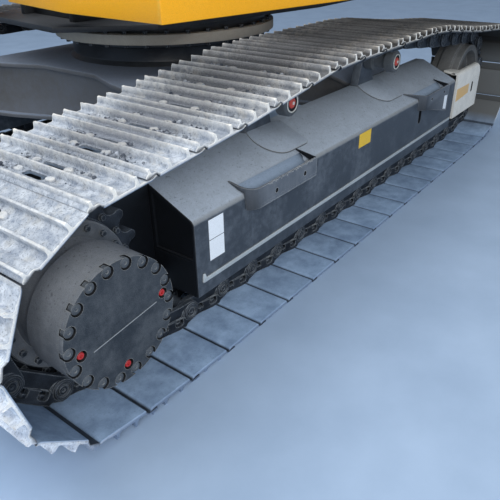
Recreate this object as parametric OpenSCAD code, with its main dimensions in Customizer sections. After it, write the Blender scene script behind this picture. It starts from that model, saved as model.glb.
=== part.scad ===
// Crawler excavator undercarriage with its slew bearing and revolving frame.
// +X runs along the tracks towards the idlers, +Y to the left, +Z up.
// The origin is on the ground under the slew axis.

/* [Tracks] */
// Distance between the middles of the two tracks
track_gauge = 2300; // [2200:10:2500]
// Width of a track shoe
shoe_w = 600; // [500:10:700]
// Aimed distance between two track pins; the real one closes the loop evenly
shoe_pitch = 190; // [175:1:205]
// Thickness of the shoe's plate
plate_t = 11; // [8:1:16]
// Height of a grouser over the plate
grouser_h = 26; // [18:1:32]
// Height of the pin's middle over the shoe's seat
pin_to_shoe = 55; // [48:1:62]
// Depth of the rail under the pin's middle
pin_to_rail = 42; // [36:1:48]
// Thickness of one chain rail
rail_t = 38; // [28:1:42]
// Distance from the chain's middle to the middle of a rail
rail_offset = 72; // [66:1:78]
// Dip of the top run behind and ahead of the carrier rollers
sag = 10; // [0:1:30]
// Distance that the shoes are moved on along the loop, rearwards on the upper run
track_shift = 20; // [0:1:95]

/* [Wheels] */
// Number of sprocket teeth, of which every other one carries a pin
sprocket_teeth = 19; // [17:2:21]
// Distance from the slew axis back to the sprocket's axle
sprocket_back = 1684; // [1650:1:1800]
// Height of the sprocket's axle
sprocket_z = 405; // [396:1:430]
// Thickness of the sprocket's toothed rim
sprocket_t = 60; // [40:1:70]
// Distance from the track frame's front end forward to the idler's axle
idler_ahead = 393; // [385:1:420]
// Height of the idler's axle
idler_z = 402; // [395:1:430]
// Radius of the idler's tread
idler_r = 236; // [228:1:242]
// Height of the idler's middle flange over its tread
idler_flange = 18; // [10:1:24]
// Places of the carrier rollers along the frame
carrier_x = [-552, 444];
// Height of the carrier rollers' axles
carrier_z = 724; // [700:1:740]
// Radius of a carrier roller
carrier_r = 56; // [52:1:70]
// Height that the top run's bends stand over the carrier rollers, which the straight links cut down
bend_lift = 6; // [5:1:10]
// Number of track rollers on each side
roller_count = 7; // [5:1:8]
// Place of the rearmost track roller
roller_first = -1150; // [-1170:1:-1100]
// Place of the foremost track roller
roller_last = 1180; // [1100:1:1200]
// Radius of a track roller's tread
roller_r = 78; // [70:1:84]

/* [Final drives] */
// Radius of the final drive's drum
drum_r = 192; // [180:1:200]
// Length of the drum
drum_l = 154; // [110:1:156]
// Distance from the chain's middle to the drum's outer face
drum_out = 291; // [262:1:298]
// Number of bolts round the drum's cover
cover_bolts = 18; // [12:1:24]
// Angle of the first cover bolt
bolt_turn = 17.5; // [0:0.5:20]
// Radius of the scalloped recess at each cover bolt
scallop_r = 19; // [12:1:20]
// Radius of the travel motor
motor_r = 148; // [120:1:155]

/* [Track frames] */
// Half the width of a track frame
frame_half = 150; // [145:1:165]
// Rear end of the track frame
frame_rear = -1240; // [-1260:1:-1220]
// Front end of the track frame
frame_front = 1270; // [1240:1:1280]
// Height of the outer face's upper edge
face_top = 491; // [470:1:500]
// Height of the skirts' lower edge
face_low = 178; // [170:1:200]
// Bend radius of the outer face's upper edge
edge_r = 24; // [12:1:30]
// Rise of the sloping top plate for each millimetre inwards
top_slope = 0.43; // [0.3:0.01:0.5]
// Thickness of the skirt plates
skirt_t = 12; // [8:1:16]
// Underside of the frame's box, over the track rollers
box_low = 322; // [318:1:330]

/* [Steps and guards] */
// Distance that a step stands out of the frame's face
step_out = 36; // [20:1:50]
// Height of the steps' upper edge over the face's upper edge
step_rise = 14; // [4:1:20]
// Height of the rear step's front plate
step_h = 82; // [60:1:90]
// Height of the front step's front plate at its front end
long_step_h = 160; // [120:1:175]
// Thickness of a step's plate
step_t = 8; // [6:1:12]
// Height of the idler guard's lower edge
guard_low = 222; // [215:1:240]
// Length of the idler guard
guard_l = 485; // [440:1:500]
// Thickness of the guard's plate
guard_t = 14; // [10:1:18]
// Radius of the guard's upper front corner
guard_nose_r = 80; // [50:1:100]

/* [Car body] */
// Height of the car body's top plate
body_top = 745; // [720:1:760]
// Height of the car body's underside
body_low = 452; // [430:1:480]
// Radius of the slew pedestal
tub_r = 532; // [510:1:540]
// Wall of the slew pedestal
tub_wall = 30; // [20:1:40]
// Height of the slew pedestal's top
tub_top = 850; // [840:1:852]

/* [Slew bearing] */
// Distance that the slew bearing's outer ring stands out past the pedestal
ring_past_tub = 83; // [70:1:95]
// Distance that the joint between its two rings lies past the pedestal
joint_past_tub = 3; // [0:1:12]
// Width of the toothed inner ring
inner_ring_w = 95; // [75:1:110]
// Lower face of the outer ring
ring_low = 858; // [856:1:864]
// Upper face of the outer ring
ring_top = 906; // [900:1:912]

/* [Revolving frame] */
// Angle of the revolving frame at rest, turned from straight ahead
swing_rest = 171.5; // [150:0.5:210]
// Underside of the frame's bottom plate
deck_low = 952; // [946:1:965]
// Half the width of the revolving frame
rail_half = 1240; // [1200:1:1260]
// Front end of the side rails
rail_front = 926; // [900:1:960]
// Rear end of the side rails
rail_rear = -1760; // [-1850:1:-1700]
// Underside of the yellow side rails
rail_low = 1069; // [1060:1:1080]
// Height of the yellow side rails
rail_h = 250; // [200:1:280]
// Half the distance between the two main plates' middles
cheek_half = 250; // [230:1:280]
// Thickness of a main plate
cheek_t = 36; // [28:1:44]
// Rear end of the bottom plate
deck_rear = -1700; // [-1750:1:-1650]
// Front end of the bottom plate
deck_front = 860; // [820:1:900]
// Half the width of the bottom plate
deck_half = 620; // [600:1:660]
// Distance from the slew axis forward to the boom foot
boom_foot_x = 180; // [150:1:220]
// Height of the boom foot over the ground
boom_foot_z = 1600; // [1500:1:1650]
// Radius of the ear round the boom foot's pin
boom_ear_r = 115; // [100:1:125]
// Radius of the boom foot's pin bore
boom_bore = 45; // [40:1:50]
// Distance from the slew axis forward to the boom cylinders' foot
ram_foot_x = 600; // [560:1:640]
// Height of the boom cylinders' foot over the ground
ram_foot_z = 1375; // [1300:1:1420]
// Radius of the boom cylinders' pin bore
ram_bore = 40; // [35:1:45]
// Distance from the slew axis back to the swing motor's seat
gear_seat_back = 60; // [0:1:100]
// Distance from the slew axis to the right to the swing motor's seat
gear_seat_side = 385; // [370:1:400]
// Radius of the swing motor's seat
gear_bore = 112; // [100:1:114]
// Radius of the counterweight's bolt holes
weight_bore = 21; // [18:1:24]

/* [Hidden] */
$fn = 64;
charcoal = [0.16, 0.17, 0.18];
dust = [0.60, 0.62, 0.64];
yellow = [1.0, 0.69, 0.04];
black = [0.09, 0.09, 0.10];
seat_gap = 0.3;

sprocket_x = -sprocket_back;
idler_x = frame_front + idler_ahead;
boom_foot = [boom_foot_x, boom_foot_z];
ram_foot = [ram_foot_x, ram_foot_z];
ring_r = tub_r + ring_past_tub;
ring_mid = tub_r + joint_past_tub;
ring_in = ring_mid - inner_ring_w;
pin_low = grouser_h + plate_t + pin_to_shoe;
sprocket_pitch_r = shoe_pitch / (2 * sin(360 / sprocket_teeth));
idler_pitch_r = norm([idler_r + pin_to_rail + seat_gap, shoe_pitch / 2]);
carrier_pin_z = carrier_z + carrier_r + pin_to_rail + bend_lift + seat_gap;
roller_z = pin_low + pin_to_rail + roller_r + seat_gap;
roller_step = (roller_last - roller_first) / (roller_count - 1);
roller_xs = [for (i = [0:roller_count - 1]) roller_first + i * roller_step];

// Angle at which a straight run through p leaves a circle of radius r round c
function leave(c, r, p, turn) = let (d = p - c) atan2(d[1], d[0]) + turn * acos(r / norm(d));
function arc(c, r, a, b, n) = [for (i = [0:n]) let (t = a + (b - a) * i / n) c + r * [cos(t), sin(t)]];

// The loop of the track pins in the x-z plane, from the sprocket down and forward
flat_past_rollers = 150;
rear_low = [roller_first - flat_past_rollers, pin_low];
front_low = [roller_last + flat_past_rollers, pin_low];
rear_high = [carrier_x[0], carrier_pin_z];
front_high = [carrier_x[1], carrier_pin_z];
sprocket_c = [sprocket_x, sprocket_z];
idler_c = [idler_x, idler_z];
rear_dip = (sprocket_c + [0, sprocket_pitch_r] + rear_high) / 2 - [0, sag];
front_dip = (idler_c + [0, idler_pitch_r] + front_high) / 2 - [0, sag];
sprocket_arc = [leave(sprocket_c, sprocket_pitch_r, rear_dip, 1),
    360 + leave(sprocket_c, sprocket_pitch_r, rear_low, -1)];
idler_arc = [leave(idler_c, idler_pitch_r, front_low, 1), leave(idler_c, idler_pitch_r, front_dip, -1)];
arc_steps = 40;
loop = concat(arc(sprocket_c, sprocket_pitch_r, sprocket_arc[0], sprocket_arc[1], arc_steps),
    [rear_low, front_low],
    arc(idler_c, idler_pitch_r, idler_arc[0], idler_arc[1], arc_steps),
    [front_dip, front_high, rear_high, rear_dip]);
loop_n = len(loop);
loop_step = [for (i = [0:loop_n - 1]) norm(loop[(i + 1) % loop_n] - loop[i])];
loop_at = [for (i = 0, s = 0; i <= loop_n; s = s + (i < loop_n ? loop_step[i] : 0), i = i + 1) s];
loop_l = loop_at[loop_n];
loop_x = [for (i = [0:loop_n]) [loop_at[i], loop[i % loop_n][0]]];
loop_z = [for (i = [0:loop_n]) [loop_at[i], loop[i % loop_n][1]]];
shoe_count = round(loop_l / shoe_pitch);
pitch = loop_l / shoe_count;
pins = [for (i = [0:shoe_count - 1]) let (s = (i * pitch + track_shift) % loop_l)
    [lookup(s, loop_x), lookup(s, loop_z)]];

// A point of link i: along the link from its middle, and outwards from the pin line
function on_link(i, along, out) = let (a = pins[i], b = pins[(i + 1) % shoe_count], d = (b - a) / norm(b - a))
    (a + b) / 2 + along * d + out * [d[1], -d[0]];
shoe_top = pin_to_shoe + plate_t;
shoe_tip = shoe_top + grouser_h;
half_link = pitch / 2;
// Places of the three grousers along a link, and half the width of a grouser's foot
grousers = [-61, 11, 84];
grouser_foot = 10;
// Outline of a shoe: the bent lip, then the grousers; along, outwards
grouser = [[-grouser_foot, shoe_top], [0, shoe_tip], [grouser_foot, shoe_top]];
shoe_outer = concat([[2 - half_link, shoe_top - 8]], [for (g = grousers) for (p = grouser) p + [g, 0]]);

function shoe_line(profile) = [for (i = [0:shoe_count - 1]) for (p = profile) on_link(i, p[0], p[1])];

// Closed line round the chain with a corner outside every pin
function link_normal(i) = on_link(i % shoe_count, 0, 1) - on_link(i % shoe_count, 0, 0);
function rail_line(out) = [for (i = [0:shoe_count - 1])
    let (b = link_normal(i) + link_normal(i + shoe_count - 1)) pins[i] + b * out / norm(b)];

// Puts a shape drawn in x-z, with its depth outwards from the track's middle, on one side
module on_side(side) {
    if (side < 0)
        translate([0, -track_gauge / 2, 0]) rotate([90, 0, 0]) children();
    else
        translate([0, track_gauge / 2, 0]) mirror([0, 1, 0]) rotate([90, 0, 0]) children();
}

// The same, for a shape centred on the axle at x, z
module at_axle(side, x, z) {
    on_side(side) translate([x, z, 0]) children();
}

// Runs a cross-section along x; its first axis points outwards from the track's middle
module along_x(side, x, l) {
    translate([x, side * track_gauge / 2, 0]) mirror([0, side < 0 ? 1 : 0, 0])
        rotate([90, 0, 90]) linear_extrude(l) children();
}

module track_shoes(side) {
    color(dust) on_side(side)
        translate([0, 0, -shoe_w / 2]) linear_extrude(shoe_w) difference() {
            polygon(shoe_line(shoe_outer));
            polygon(rail_line(pin_to_shoe));
        }
}

module track_chain(side) {
    color(charcoal) on_side(side)
        for (s = [-1, 1])
            translate([0, 0, s * rail_offset - rail_t / 2]) linear_extrude(rail_t) difference() {
                polygon(rail_line(pin_to_shoe - seat_gap));
                polygon(rail_line(-pin_to_rail));
            }
}

// Outer face of the sprocket's hub, which the final drive's flange rests on
flange_z = sprocket_t / 2 + 10;

// Toothed rim: a round root with a tooth between every two pin seats
module sprocket(side) {
    pin_r = 30;
    root_r = sprocket_pitch_r - pin_r - 1;
    tip_r = sprocket_pitch_r + 14;
    tooth_step = 360 / sprocket_teeth;
    foot = 0.30 * tooth_step;
    crest = 0.09 * tooth_step;
    first = sprocket_arc[0] + tooth_step / 2 + track_shift / sprocket_pitch_r * 180 / PI;
    tooth = [[-foot, root_r], [-crest, tip_r], [crest, tip_r], [foot, root_r]];
    outline = [for (i = [0:sprocket_teeth - 1]) for (q = tooth) let (a = first + i * tooth_step + q[0])
        q[1] * [cos(a), sin(a)]];
    color(charcoal) at_axle(side, sprocket_x, sprocket_z)
        difference() {
            union() {
                translate([0, 0, -sprocket_t / 2]) linear_extrude(sprocket_t) polygon(outline);
                translate([0, 0, -sprocket_t / 2]) cylinder(r = root_r - 30, h = sprocket_t / 2 + flange_z);
            }
            translate([0, 0, -sprocket_t]) cylinder(r = motor_r + 12, h = 2 * sprocket_t);
        }
}

module final_drive(side) {
    flange_r = sprocket_pitch_r - 66;
    neck_r = drum_r - 14;
    back = drum_out - drum_l;
    bolt_ring = drum_r - 17;
    bolt_step = 360 / cover_bolts;
    scallop_depth = 26;
    bolt_r = 13;
    color(dust) at_axle(side, sprocket_x, sprocket_z) {
        difference() {
            union() {
                translate([0, 0, flange_z]) cylinder(r = flange_r, h = 22);
                translate([0, 0, flange_z]) cylinder(r = neck_r, h = back - flange_z);
                translate([0, 0, back]) cylinder(r = drum_r, h = drum_l - 6);
                translate([0, 0, drum_out - 6]) cylinder(r1 = drum_r, r2 = drum_r - 6, h = 6, $fn = 96);
            }
            for (i = [0:cover_bolts - 1])
                rotate(bolt_turn + i * bolt_step) translate([bolt_ring, 0, drum_out - scallop_depth])
                    cylinder(r = scallop_r, h = scallop_depth + 1);
        }
        for (i = [0:cover_bolts - 1])
            rotate(bolt_turn + i * bolt_step) translate([bolt_ring, 0, drum_out - scallop_depth - 1])
                cylinder(r = bolt_r, h = scallop_depth - 3, $fn = 24);
    }
}

module travel_motor(side) {
    body_in = 205;
    end_in = 275;
    end_r = motor_r - 40;
    valve = [120, 95, 56];
    color(charcoal) at_axle(side, sprocket_x, sprocket_z) {
        translate([0, 0, -body_in]) cylinder(r = motor_r, h = body_in + flange_z - seat_gap);
        translate([0, 0, -end_in]) cylinder(r = end_r, h = end_in - body_in + 2);
        translate([-valve[0] / 2, 40, 1 - body_in - valve[2]]) cube(valve);
    }
}

// Thick ring plate that carries the final drive behind the track frame
module drive_bracket(side) {
    ring_plate_r = 222;
    plate_in = 95;
    plate = 42;
    frame_end = frame_rear - sprocket_x;
    foot_z = 200 - sprocket_z;
    head_z = 575 - sprocket_z;
    color(black) at_axle(side, sprocket_x, sprocket_z)
        translate([0, 0, -plate_in])
            linear_extrude(plate) difference() {
                union() {
                    circle(r = ring_plate_r, $fn = 96);
                    polygon([[0, -ring_plate_r], [frame_end, foot_z], [frame_end, head_z],
                        [0, ring_plate_r]]);
                }
                circle(r = motor_r + seat_gap, $fn = 96);
            }
}

// Cross-section of a track frame: u outwards from the track's middle, then height
ridge_u = -80;
ridge_back = -136;
ridge_z = face_top + top_slope * (frame_half - ridge_u);
edge_turn = 90 - atan(top_slope);
inner_low = face_low + 40;
function frame_outline() = concat(
    [[frame_half, face_low], [frame_half, face_top - edge_r]],
    [for (p = arc([0, 0], edge_r, 0, edge_turn, 4)) [frame_half - edge_r, face_top - edge_r] + p],
    [[ridge_u, ridge_z], [ridge_back, ridge_z], [-frame_half, ridge_z - 14], [-frame_half, inner_low],
        [-frame_half + skirt_t, inner_low], [-frame_half + skirt_t, box_low],
        [frame_half - skirt_t, box_low], [frame_half - skirt_t, face_low]]);

// Height of the sloping top plate, u outwards from the track's middle
function slope_z(u) = face_top + top_slope * (frame_half - u);

module track_frame(side) {
    strip = [frame_front - frame_rear - 48, 16, 4];
    strip_x = frame_rear + 28;
    strip_z = 232;
    hook = [10, 20, strip[2]];
    end_deep = 60;
    end_in = -40;
    end_out = frame_half - skirt_t;
    bend_u = end_out - skirt_t;
    roof = 2 * skirt_t;
    color(charcoal) difference() {
        along_x(side, frame_rear, frame_front - frame_rear) polygon(frame_outline());
        along_x(side, frame_rear - 1, end_deep + 1)
            polygon([[end_in, box_low + skirt_t], [end_out, box_low + skirt_t], [end_out, face_top - edge_r],
                [bend_u, slope_z(bend_u) - roof], [end_in, slope_z(end_in) - roof]]);
    }
    color(dust) on_side(side) {
        translate([strip_x, strip_z, frame_half]) cube(strip);
        translate([strip_x, strip_z + strip[1], frame_half]) cube(hook);
    }
}

step_top = face_top + step_rise;
step_outer = frame_half + step_out;
arm_u = 66;
// Each step: rear end of its arm, front end, how far the arm runs forward, its turn and bend radius,
// and how far the lower edge drops from rear to front
step_table = [[-965, -510, 0, 0, 60, 0], [584, 1050, 95, 43, 30, long_step_h - step_h]];

// Plan of a step's bent plate: along x, outwards
function strap_plan(s) = let (c = [s[0] + s[2] + s[4], step_outer - s[4]]) concat([[s[0], arm_u]],
    arc(c, s[4], 180 - s[3], 90, 6), [[s[1], step_outer], [s[1], step_outer - step_t]],
    arc(c, s[4] - step_t, 90, 180 - s[3], 6), [[s[0] + step_t, arm_u]]);

// Both steps of one side
module steps(side) {
    for (s = step_table)
        step(side, s);
}

// A bent plate whose arm runs up the slope, with a closing plate at its front end
module step(side, s) {
    low_z = step_top - step_h;
    deep_z = low_z - s[5];
    reach = s[1] - s[0] + 10;
    corner_x = s[0] + s[2] + s[4];
    arm_rise = 0.16;
    spare = 60;
    back_u = arm_u - spare;
    over_z = step_top + spare;
    floor_l = s[1] - corner_x - 1;
    seat = frame_half + seat_gap;
    color(charcoal) {
        difference() {
            translate([0, side * track_gauge / 2, deep_z]) mirror([0, side < 0 ? 1 : 0, 0])
                linear_extrude(step_top + spare / 2 - deep_z) union() {
                    polygon(strap_plan(s));
                    translate([s[1] - step_t, arm_u]) square([step_t, step_outer - arm_u]);
                }
            along_x(side, s[0] - 5, reach)
                polygon([[back_u, deep_z - 1], [seat, deep_z - 1], [seat, slope_z(frame_half) + seat_gap],
                    [back_u, slope_z(back_u) + seat_gap]]);
            along_x(side, s[0] - 5, reach)
                polygon([[step_outer + 1, step_top], [step_outer + 1, over_z], [arm_u - 1, over_z],
                    [arm_u - 1, step_top + arm_rise * (step_outer - arm_u + 1)]]);
            on_side(side) translate([0, 0, arm_u]) linear_extrude(step_outer)
                polygon([[s[0] - 5, low_z], [corner_x, low_z], [s[1] + 1, deep_z], [s[1] + 1, deep_z - spare],
                    [s[0] - 5, deep_z - spare]]);
        }
        on_side(side) translate([corner_x, low_z + 6, seat]) cube([floor_l, step_t, step_out - step_t]);
    }
}

idler_arm_in = 98;
guard_rear = frame_front + 35;
guard_front = guard_rear + guard_l;
guard_top = face_top + 27;
guard_outer = frame_half + 2;

// Side view of the idler guard, g inside its skin
function guard_side(g) = concat([[guard_rear - g, guard_low - g], [guard_front - g, guard_low - g]],
    arc([guard_front - guard_nose_r, guard_top - guard_nose_r], guard_nose_r - g, 0, 90, 8),
    [[guard_rear - g, guard_top - g]]);

// Pressed cover over the idler's outer side, open at its rear and below
module idler_guard(side) {
    lip = [70, guard_t, 60];
    hole_r = 12;
    hole_rise = 20;
    hole = [guard_front - 160, 374];
    color(dust) on_side(side) {
        difference() {
            translate([0, 0, idler_arm_in]) linear_extrude(guard_outer - idler_arm_in) polygon(guard_side(0));
            translate([0, 0, idler_arm_in - 1]) linear_extrude(guard_outer - guard_t - idler_arm_in + 1)
                polygon(guard_side(guard_t));
            translate([hole[0], hole[1], guard_outer - guard_t - 1]) linear_extrude(guard_t + 2) union() {
                translate([-hole_r, -hole_rise]) square([2 * hole_r, 2 * hole_rise]);
                for (rise = [-hole_rise, hole_rise])
                    translate([0, rise]) circle(r = hole_r);
            }
        }
        translate([guard_rear, guard_top - guard_t, idler_arm_in - lip[2]]) cube(lip + [0, 0, 2]);
    }
}

module idler_yoke(side) {
    arm_t = guard_outer - guard_t - seat_gap - idler_arm_in;
    arm_h = 150;
    past_axle = 80;
    bridge = [60, 120, 2 * idler_arm_in];
    color(charcoal) on_side(side) {
        for (s = [-1, 1])
            translate([frame_front, idler_z - arm_h / 2, s > 0 ? idler_arm_in : -idler_arm_in - arm_t])
                cube([idler_x + past_axle - frame_front, arm_h, arm_t]);
        translate([frame_front, idler_z - bridge[1] / 2, -idler_arm_in]) cube(bridge);
    }
}

module idler(side) {
    half = 92;
    rim_r = idler_r - 36;
    web_hub = 40;
    web_rim = 24;
    flange_r = idler_r + idler_flange;
    hub = idler_arm_in - 2;
    hub_r = 85;
    hub_bore = 45;
    shaft = idler_arm_in - seat_gap;
    flange_half = rail_offset - rail_t / 2 - 6;
    color(charcoal) at_axle(side, idler_x, idler_z)
        rotate_extrude($fn = 128)
            polygon([[hub_bore, -hub], [hub_r, -hub], [hub_r, -web_hub], [rim_r, -web_rim],
                [rim_r, -half], [idler_r, -half], [idler_r, -flange_half], [flange_r, -flange_half + 6],
                [flange_r, flange_half - 6], [idler_r, flange_half], [idler_r, half], [rim_r, half],
                [rim_r, web_rim], [hub_r, web_hub], [hub_r, hub], [hub_bore, hub]]);
    color(charcoal) at_axle(side, idler_x, idler_z)
        translate([0, 0, -shaft]) cylinder(r = hub_bore - seat_gap, h = 2 * shaft);
}

// Roller that turns on a shaft: rims under both rails
module roller_body(r, half, waist) {
    rim_in = half * 0.42;
    waist_half = half * 0.34;
    edge = 6;
    rotate_extrude($fn = 72)
        polygon([[0, -half], [r - edge, -half], [r, -half + edge], [r, -rim_in], [waist, -waist_half],
            [waist, waist_half], [r, rim_in], [r, half - edge], [r - edge, half], [0, half]]);
}

carrier_half = 85;
roller_half = 94;
module carrier_rollers(side) {
    color(dust)
        for (x = carrier_x)
            at_axle(side, x, carrier_z) roller_body(carrier_r, carrier_half, carrier_r - 16);
}

module carrier_brackets(side) {
    plate = 46;
    eye_r = 52;
    foot = 95;
    foot_z = ridge_z + seat_gap - carrier_z;
    color(charcoal)
        for (x = carrier_x)
            at_axle(side, x, carrier_z)
                translate([0, 0, -carrier_half - seat_gap - plate]) linear_extrude(plate) union() {
                    circle(r = eye_r);
                    polygon([[-eye_r, 0], [-foot, foot_z], [foot, foot_z], [eye_r, 0]]);
                }
}

module track_rollers(side) {
    color(charcoal)
        for (x = roller_xs)
            at_axle(side, x, roller_z) roller_body(roller_r, roller_half, roller_r - 18);
}

module roller_collars(side) {
    wide = 96;
    drop = 34;
    first = roller_half + seat_gap;
    thick = frame_half - skirt_t - seat_gap - first;
    color(charcoal)
        for (x = roller_xs) for (s = [-1, 1])
            on_side(side) translate([x - wide / 2, roller_z - drop, s > 0 ? first : -first - thick])
                cube([wide, box_low - roller_z + drop, thick]);
}

// Plan of the car body: four legs out to the track frames
leg_in = track_gauge / 2 - frame_half;
waist_corner = [690, 180];
shoulder = [780, 430];
leg_outer_x = 930;
leg_inner_x = 430;
crotch = [300, 600];
function quarter(g) = [waist_corner + [g, g], shoulder + [g, 0], [leg_outer_x + g, leg_in + 5],
    [leg_inner_x - g, leg_in + 5], crotch + [-g, g]];
function body_plan(g) = concat(
    [for (p = quarter(g)) [-p[0], -p[1]]],
    [for (i = [4:-1:0]) [quarter(g)[i][0], -quarter(g)[i][1]]],
    [for (p = quarter(g)) [p[0], p[1]]],
    [for (i = [4:-1:0]) [-quarter(g)[i][0], quarter(g)[i][1]]]);

// Part of the car body between two height lines, each given at its middle and at the legs' ends
module body_layer(g, upper, lower, reach) {
    knee = 620;
    half_l = leg_outer_x + 170;
    run = (reach - knee) / (leg_in - knee);
    up = upper[0] + (upper[1] - upper[0]) * run;
    down = lower[0] + (lower[1] - lower[0]) * run;
    intersection() {
        linear_extrude(body_top + 10) polygon(body_plan(g));
        translate([-half_l, 0, 0]) rotate([90, 0, 90]) linear_extrude(2 * half_l)
            polygon([[-reach, up], [-knee, upper[0]], [knee, upper[0]], [reach, up],
                [reach, down], [knee, lower[0]], [-knee, lower[0]], [-reach, down]]);
    }
}

// Box-section legs whose top and bottom plates stand out past the walls
module car_body() {
    leg_top = 585;
    leg_low = 436;
    plate = 22;
    lip_out = 24;
    wall_top = [body_top - plate, leg_top - plate];
    wall_low = [body_low + plate, leg_low + plate];
    color(charcoal) difference() {
        body_layer(lip_out, [body_top, leg_top], [body_low, leg_low], leg_in);
        difference() {
            body_layer(3 * lip_out, wall_top, wall_low, leg_in + 4);
            linear_extrude(body_top + 20) polygon(body_plan(0));
        }
    }
}

module slew_tub() {
    weld = 22;
    seat_t = 18;
    seat_past = 8;
    seat_in = ring_in - 10;
    h = tub_top - body_top;
    color(charcoal)
        translate([0, 0, body_top]) rotate_extrude($fn = 128)
            polygon([[tub_r - tub_wall, 0], [tub_r + weld, 0], [tub_r, weld], [tub_r, h - seat_t],
                [tub_r + seat_past, h - seat_t], [tub_r + seat_past, h], [seat_in, h], [seat_in, h - seat_t],
                [tub_r - tub_wall, h - seat_t]]);
}

module slew_inner_ring() {
    color(black) translate([0, 0, tub_top])
        difference() {
            cylinder(r = ring_mid - seat_gap, h = ring_top - tub_top - 4, $fn = 128);
            translate([0, 0, -1]) cylinder(r = ring_in, h = ring_top, $fn = 128);
        }
}

module swivel_joint() {
    foot_r = 130;
    post_r = 92;
    post_h = 270;
    color(charcoal) translate([0, 0, body_top]) {
        cylinder(r = foot_r, h = 24);
        cylinder(r = post_r, h = post_h);
    }
}

// Everything below turns with the revolving frame
module turned() {
    rotate(swing_rest) children();
}

module slew_outer_ring() {
    color(charcoal) difference() {
        translate([0, 0, ring_low]) cylinder(r = ring_r, h = ring_top - ring_low, $fn = 128);
        translate([0, 0, ring_low - 1]) cylinder(r = ring_mid, h = ring_top, $fn = 128);
    }
}

deck_t = 25;
deck_tail_half = deck_half - 200;
deck_nose_half = deck_half - 290;
deck_tail = -deck_half;
deck_shoulder = deck_front - 360;
beam_z = rail_low + 14;

module bottom_plate() {
    swivel_hole = 160;
    color(black) difference() {
        translate([0, 0, ring_top]) cylinder(r = ring_r - 45, h = deck_low - ring_top, $fn = 128);
        translate([0, 0, ring_top - 1]) cylinder(r = ring_mid + 2, h = deck_low, $fn = 128);
    }
    color(black) turned() translate([0, 0, deck_low])
        difference() {
            linear_extrude(deck_t)
                polygon([[deck_rear, -deck_tail_half], [deck_tail, -deck_half], [deck_shoulder, -deck_half],
                    [deck_front, -deck_nose_half], [deck_front, deck_nose_half], [deck_shoulder, deck_half],
                    [deck_tail, deck_half], [deck_rear, deck_tail_half]]);
            translate([0, 0, -1]) cylinder(r = swivel_hole, h = deck_t + 2);
            translate([-gear_seat_back, -gear_seat_side, -1]) cylinder(r = gear_bore, h = deck_t + 2);
        }
}

// Main plate, with the ears for the boom foot and the boom cylinders
module cheek_plate(side) {
    z0 = deck_low + deck_t;
    y0 = side * cheek_half - cheek_t / 2;
    ram_ear_r = 92;
    toe_x = deck_front - 140;
    hip = [-560, 1290];
    tail_z = 1230;
    color(black) turned() translate([0, y0 + cheek_t, 0]) rotate([90, 0, 0])
        linear_extrude(cheek_t) difference() {
            union() {
                polygon([[deck_rear, z0], [toe_x, z0], ram_foot + [ram_ear_r, 0], ram_foot + [0, ram_ear_r],
                    boom_foot + [boom_ear_r, -60], boom_foot - [boom_ear_r, 0], hip, [deck_rear, tail_z]]);
                translate(boom_foot) circle(r = boom_ear_r);
                translate(ram_foot) circle(r = ram_ear_r);
            }
            translate(boom_foot) circle(r = boom_bore);
            translate(ram_foot) circle(r = ram_bore);
        }
}

module side_rail(side) {
    t = 12;
    lip_h = 14;
    flange = 70;
    color(yellow) turned() mirror([0, side < 0 ? 1 : 0, 0])
        translate([rail_rear, rail_half, rail_low]) rotate([90, 0, 90]) linear_extrude(rail_front - rail_rear)
            polygon([[0, 0], [0, rail_h], [-flange, rail_h], [-flange, rail_h - t], [-t, rail_h - t],
                [-t, lip_h], [-flange, lip_h], [-flange, 0]]);
}

// Front panel from the corner in towards the nose, slightly bowed
module front_panel(side) {
    t = 12;
    bow = 45;
    bow_y = 0.55 * rail_half;
    inner_y = 95;
    corner_y = rail_half - 80;
    color(yellow) turned() mirror([0, side < 0 ? 1 : 0, 0])
        translate([0, 0, rail_low]) linear_extrude(rail_h)
            polygon([[rail_front, rail_half], [rail_front + bow, bow_y], [rail_front, inner_y],
                [rail_front - t, inner_y], [rail_front + bow - t, bow_y], [rail_front - t, corner_y - 10],
                [rail_front, corner_y]]);
}

module cross_beams() {
    beam_h = 160;
    beam_w = 110;
    beam_xs = [740, 60, -640, -1320];
    inner = cheek_half + cheek_t / 2;
    outer = rail_half - 12;
    web = [30, 2 * cheek_half - cheek_t, 120];
    web_xs = [640, -400];
    color(black) turned() {
        for (x = beam_xs) for (s = [-1, 1])
            translate([x, s > 0 ? inner : -outer, beam_z]) cube([beam_w, outer - inner, beam_h]);
        for (x = web_xs)
            translate([x, -web[1] / 2, deck_low + deck_t]) cube(web);
    }
}

module rear_beam() {
    depth = 220;
    h = 200;
    bolt_ys = [-480, -160, 160, 480];
    z0 = deck_low + deck_t;
    color(black) turned() difference() {
        translate([deck_rear - depth, -deck_half, z0]) cube([depth, 2 * deck_half, h]);
        for (y = bolt_ys)
            translate([deck_rear - depth / 2, y, z0 - 1]) cylinder(r = weight_bore, h = h + 2);
    }
}

car_body();
slew_tub();
slew_inner_ring();
swivel_joint();
track_frame(-1);  // track_frame_right
track_frame(1);  // track_frame_left
drive_bracket(-1);  // drive_bracket_right
drive_bracket(1);  // drive_bracket_left
steps(-1);  // steps_right
steps(1);  // steps_left
idler_guard(-1);  // idler_guard_right
idler_guard(1);  // idler_guard_left
idler_yoke(-1);  // idler_yoke_right
idler_yoke(1);  // idler_yoke_left
idler(-1);  // idler_right
idler(1);  // idler_left
sprocket(-1);  // sprocket_right
sprocket(1);  // sprocket_left
final_drive(-1);  // final_drive_right
final_drive(1);  // final_drive_left
travel_motor(-1);  // travel_motor_right
travel_motor(1);  // travel_motor_left
carrier_rollers(-1);  // carrier_rollers_right
carrier_rollers(1);  // carrier_rollers_left
carrier_brackets(-1);  // carrier_brackets_right
carrier_brackets(1);  // carrier_brackets_left
track_rollers(-1);  // track_rollers_right
track_rollers(1);  // track_rollers_left
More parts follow.
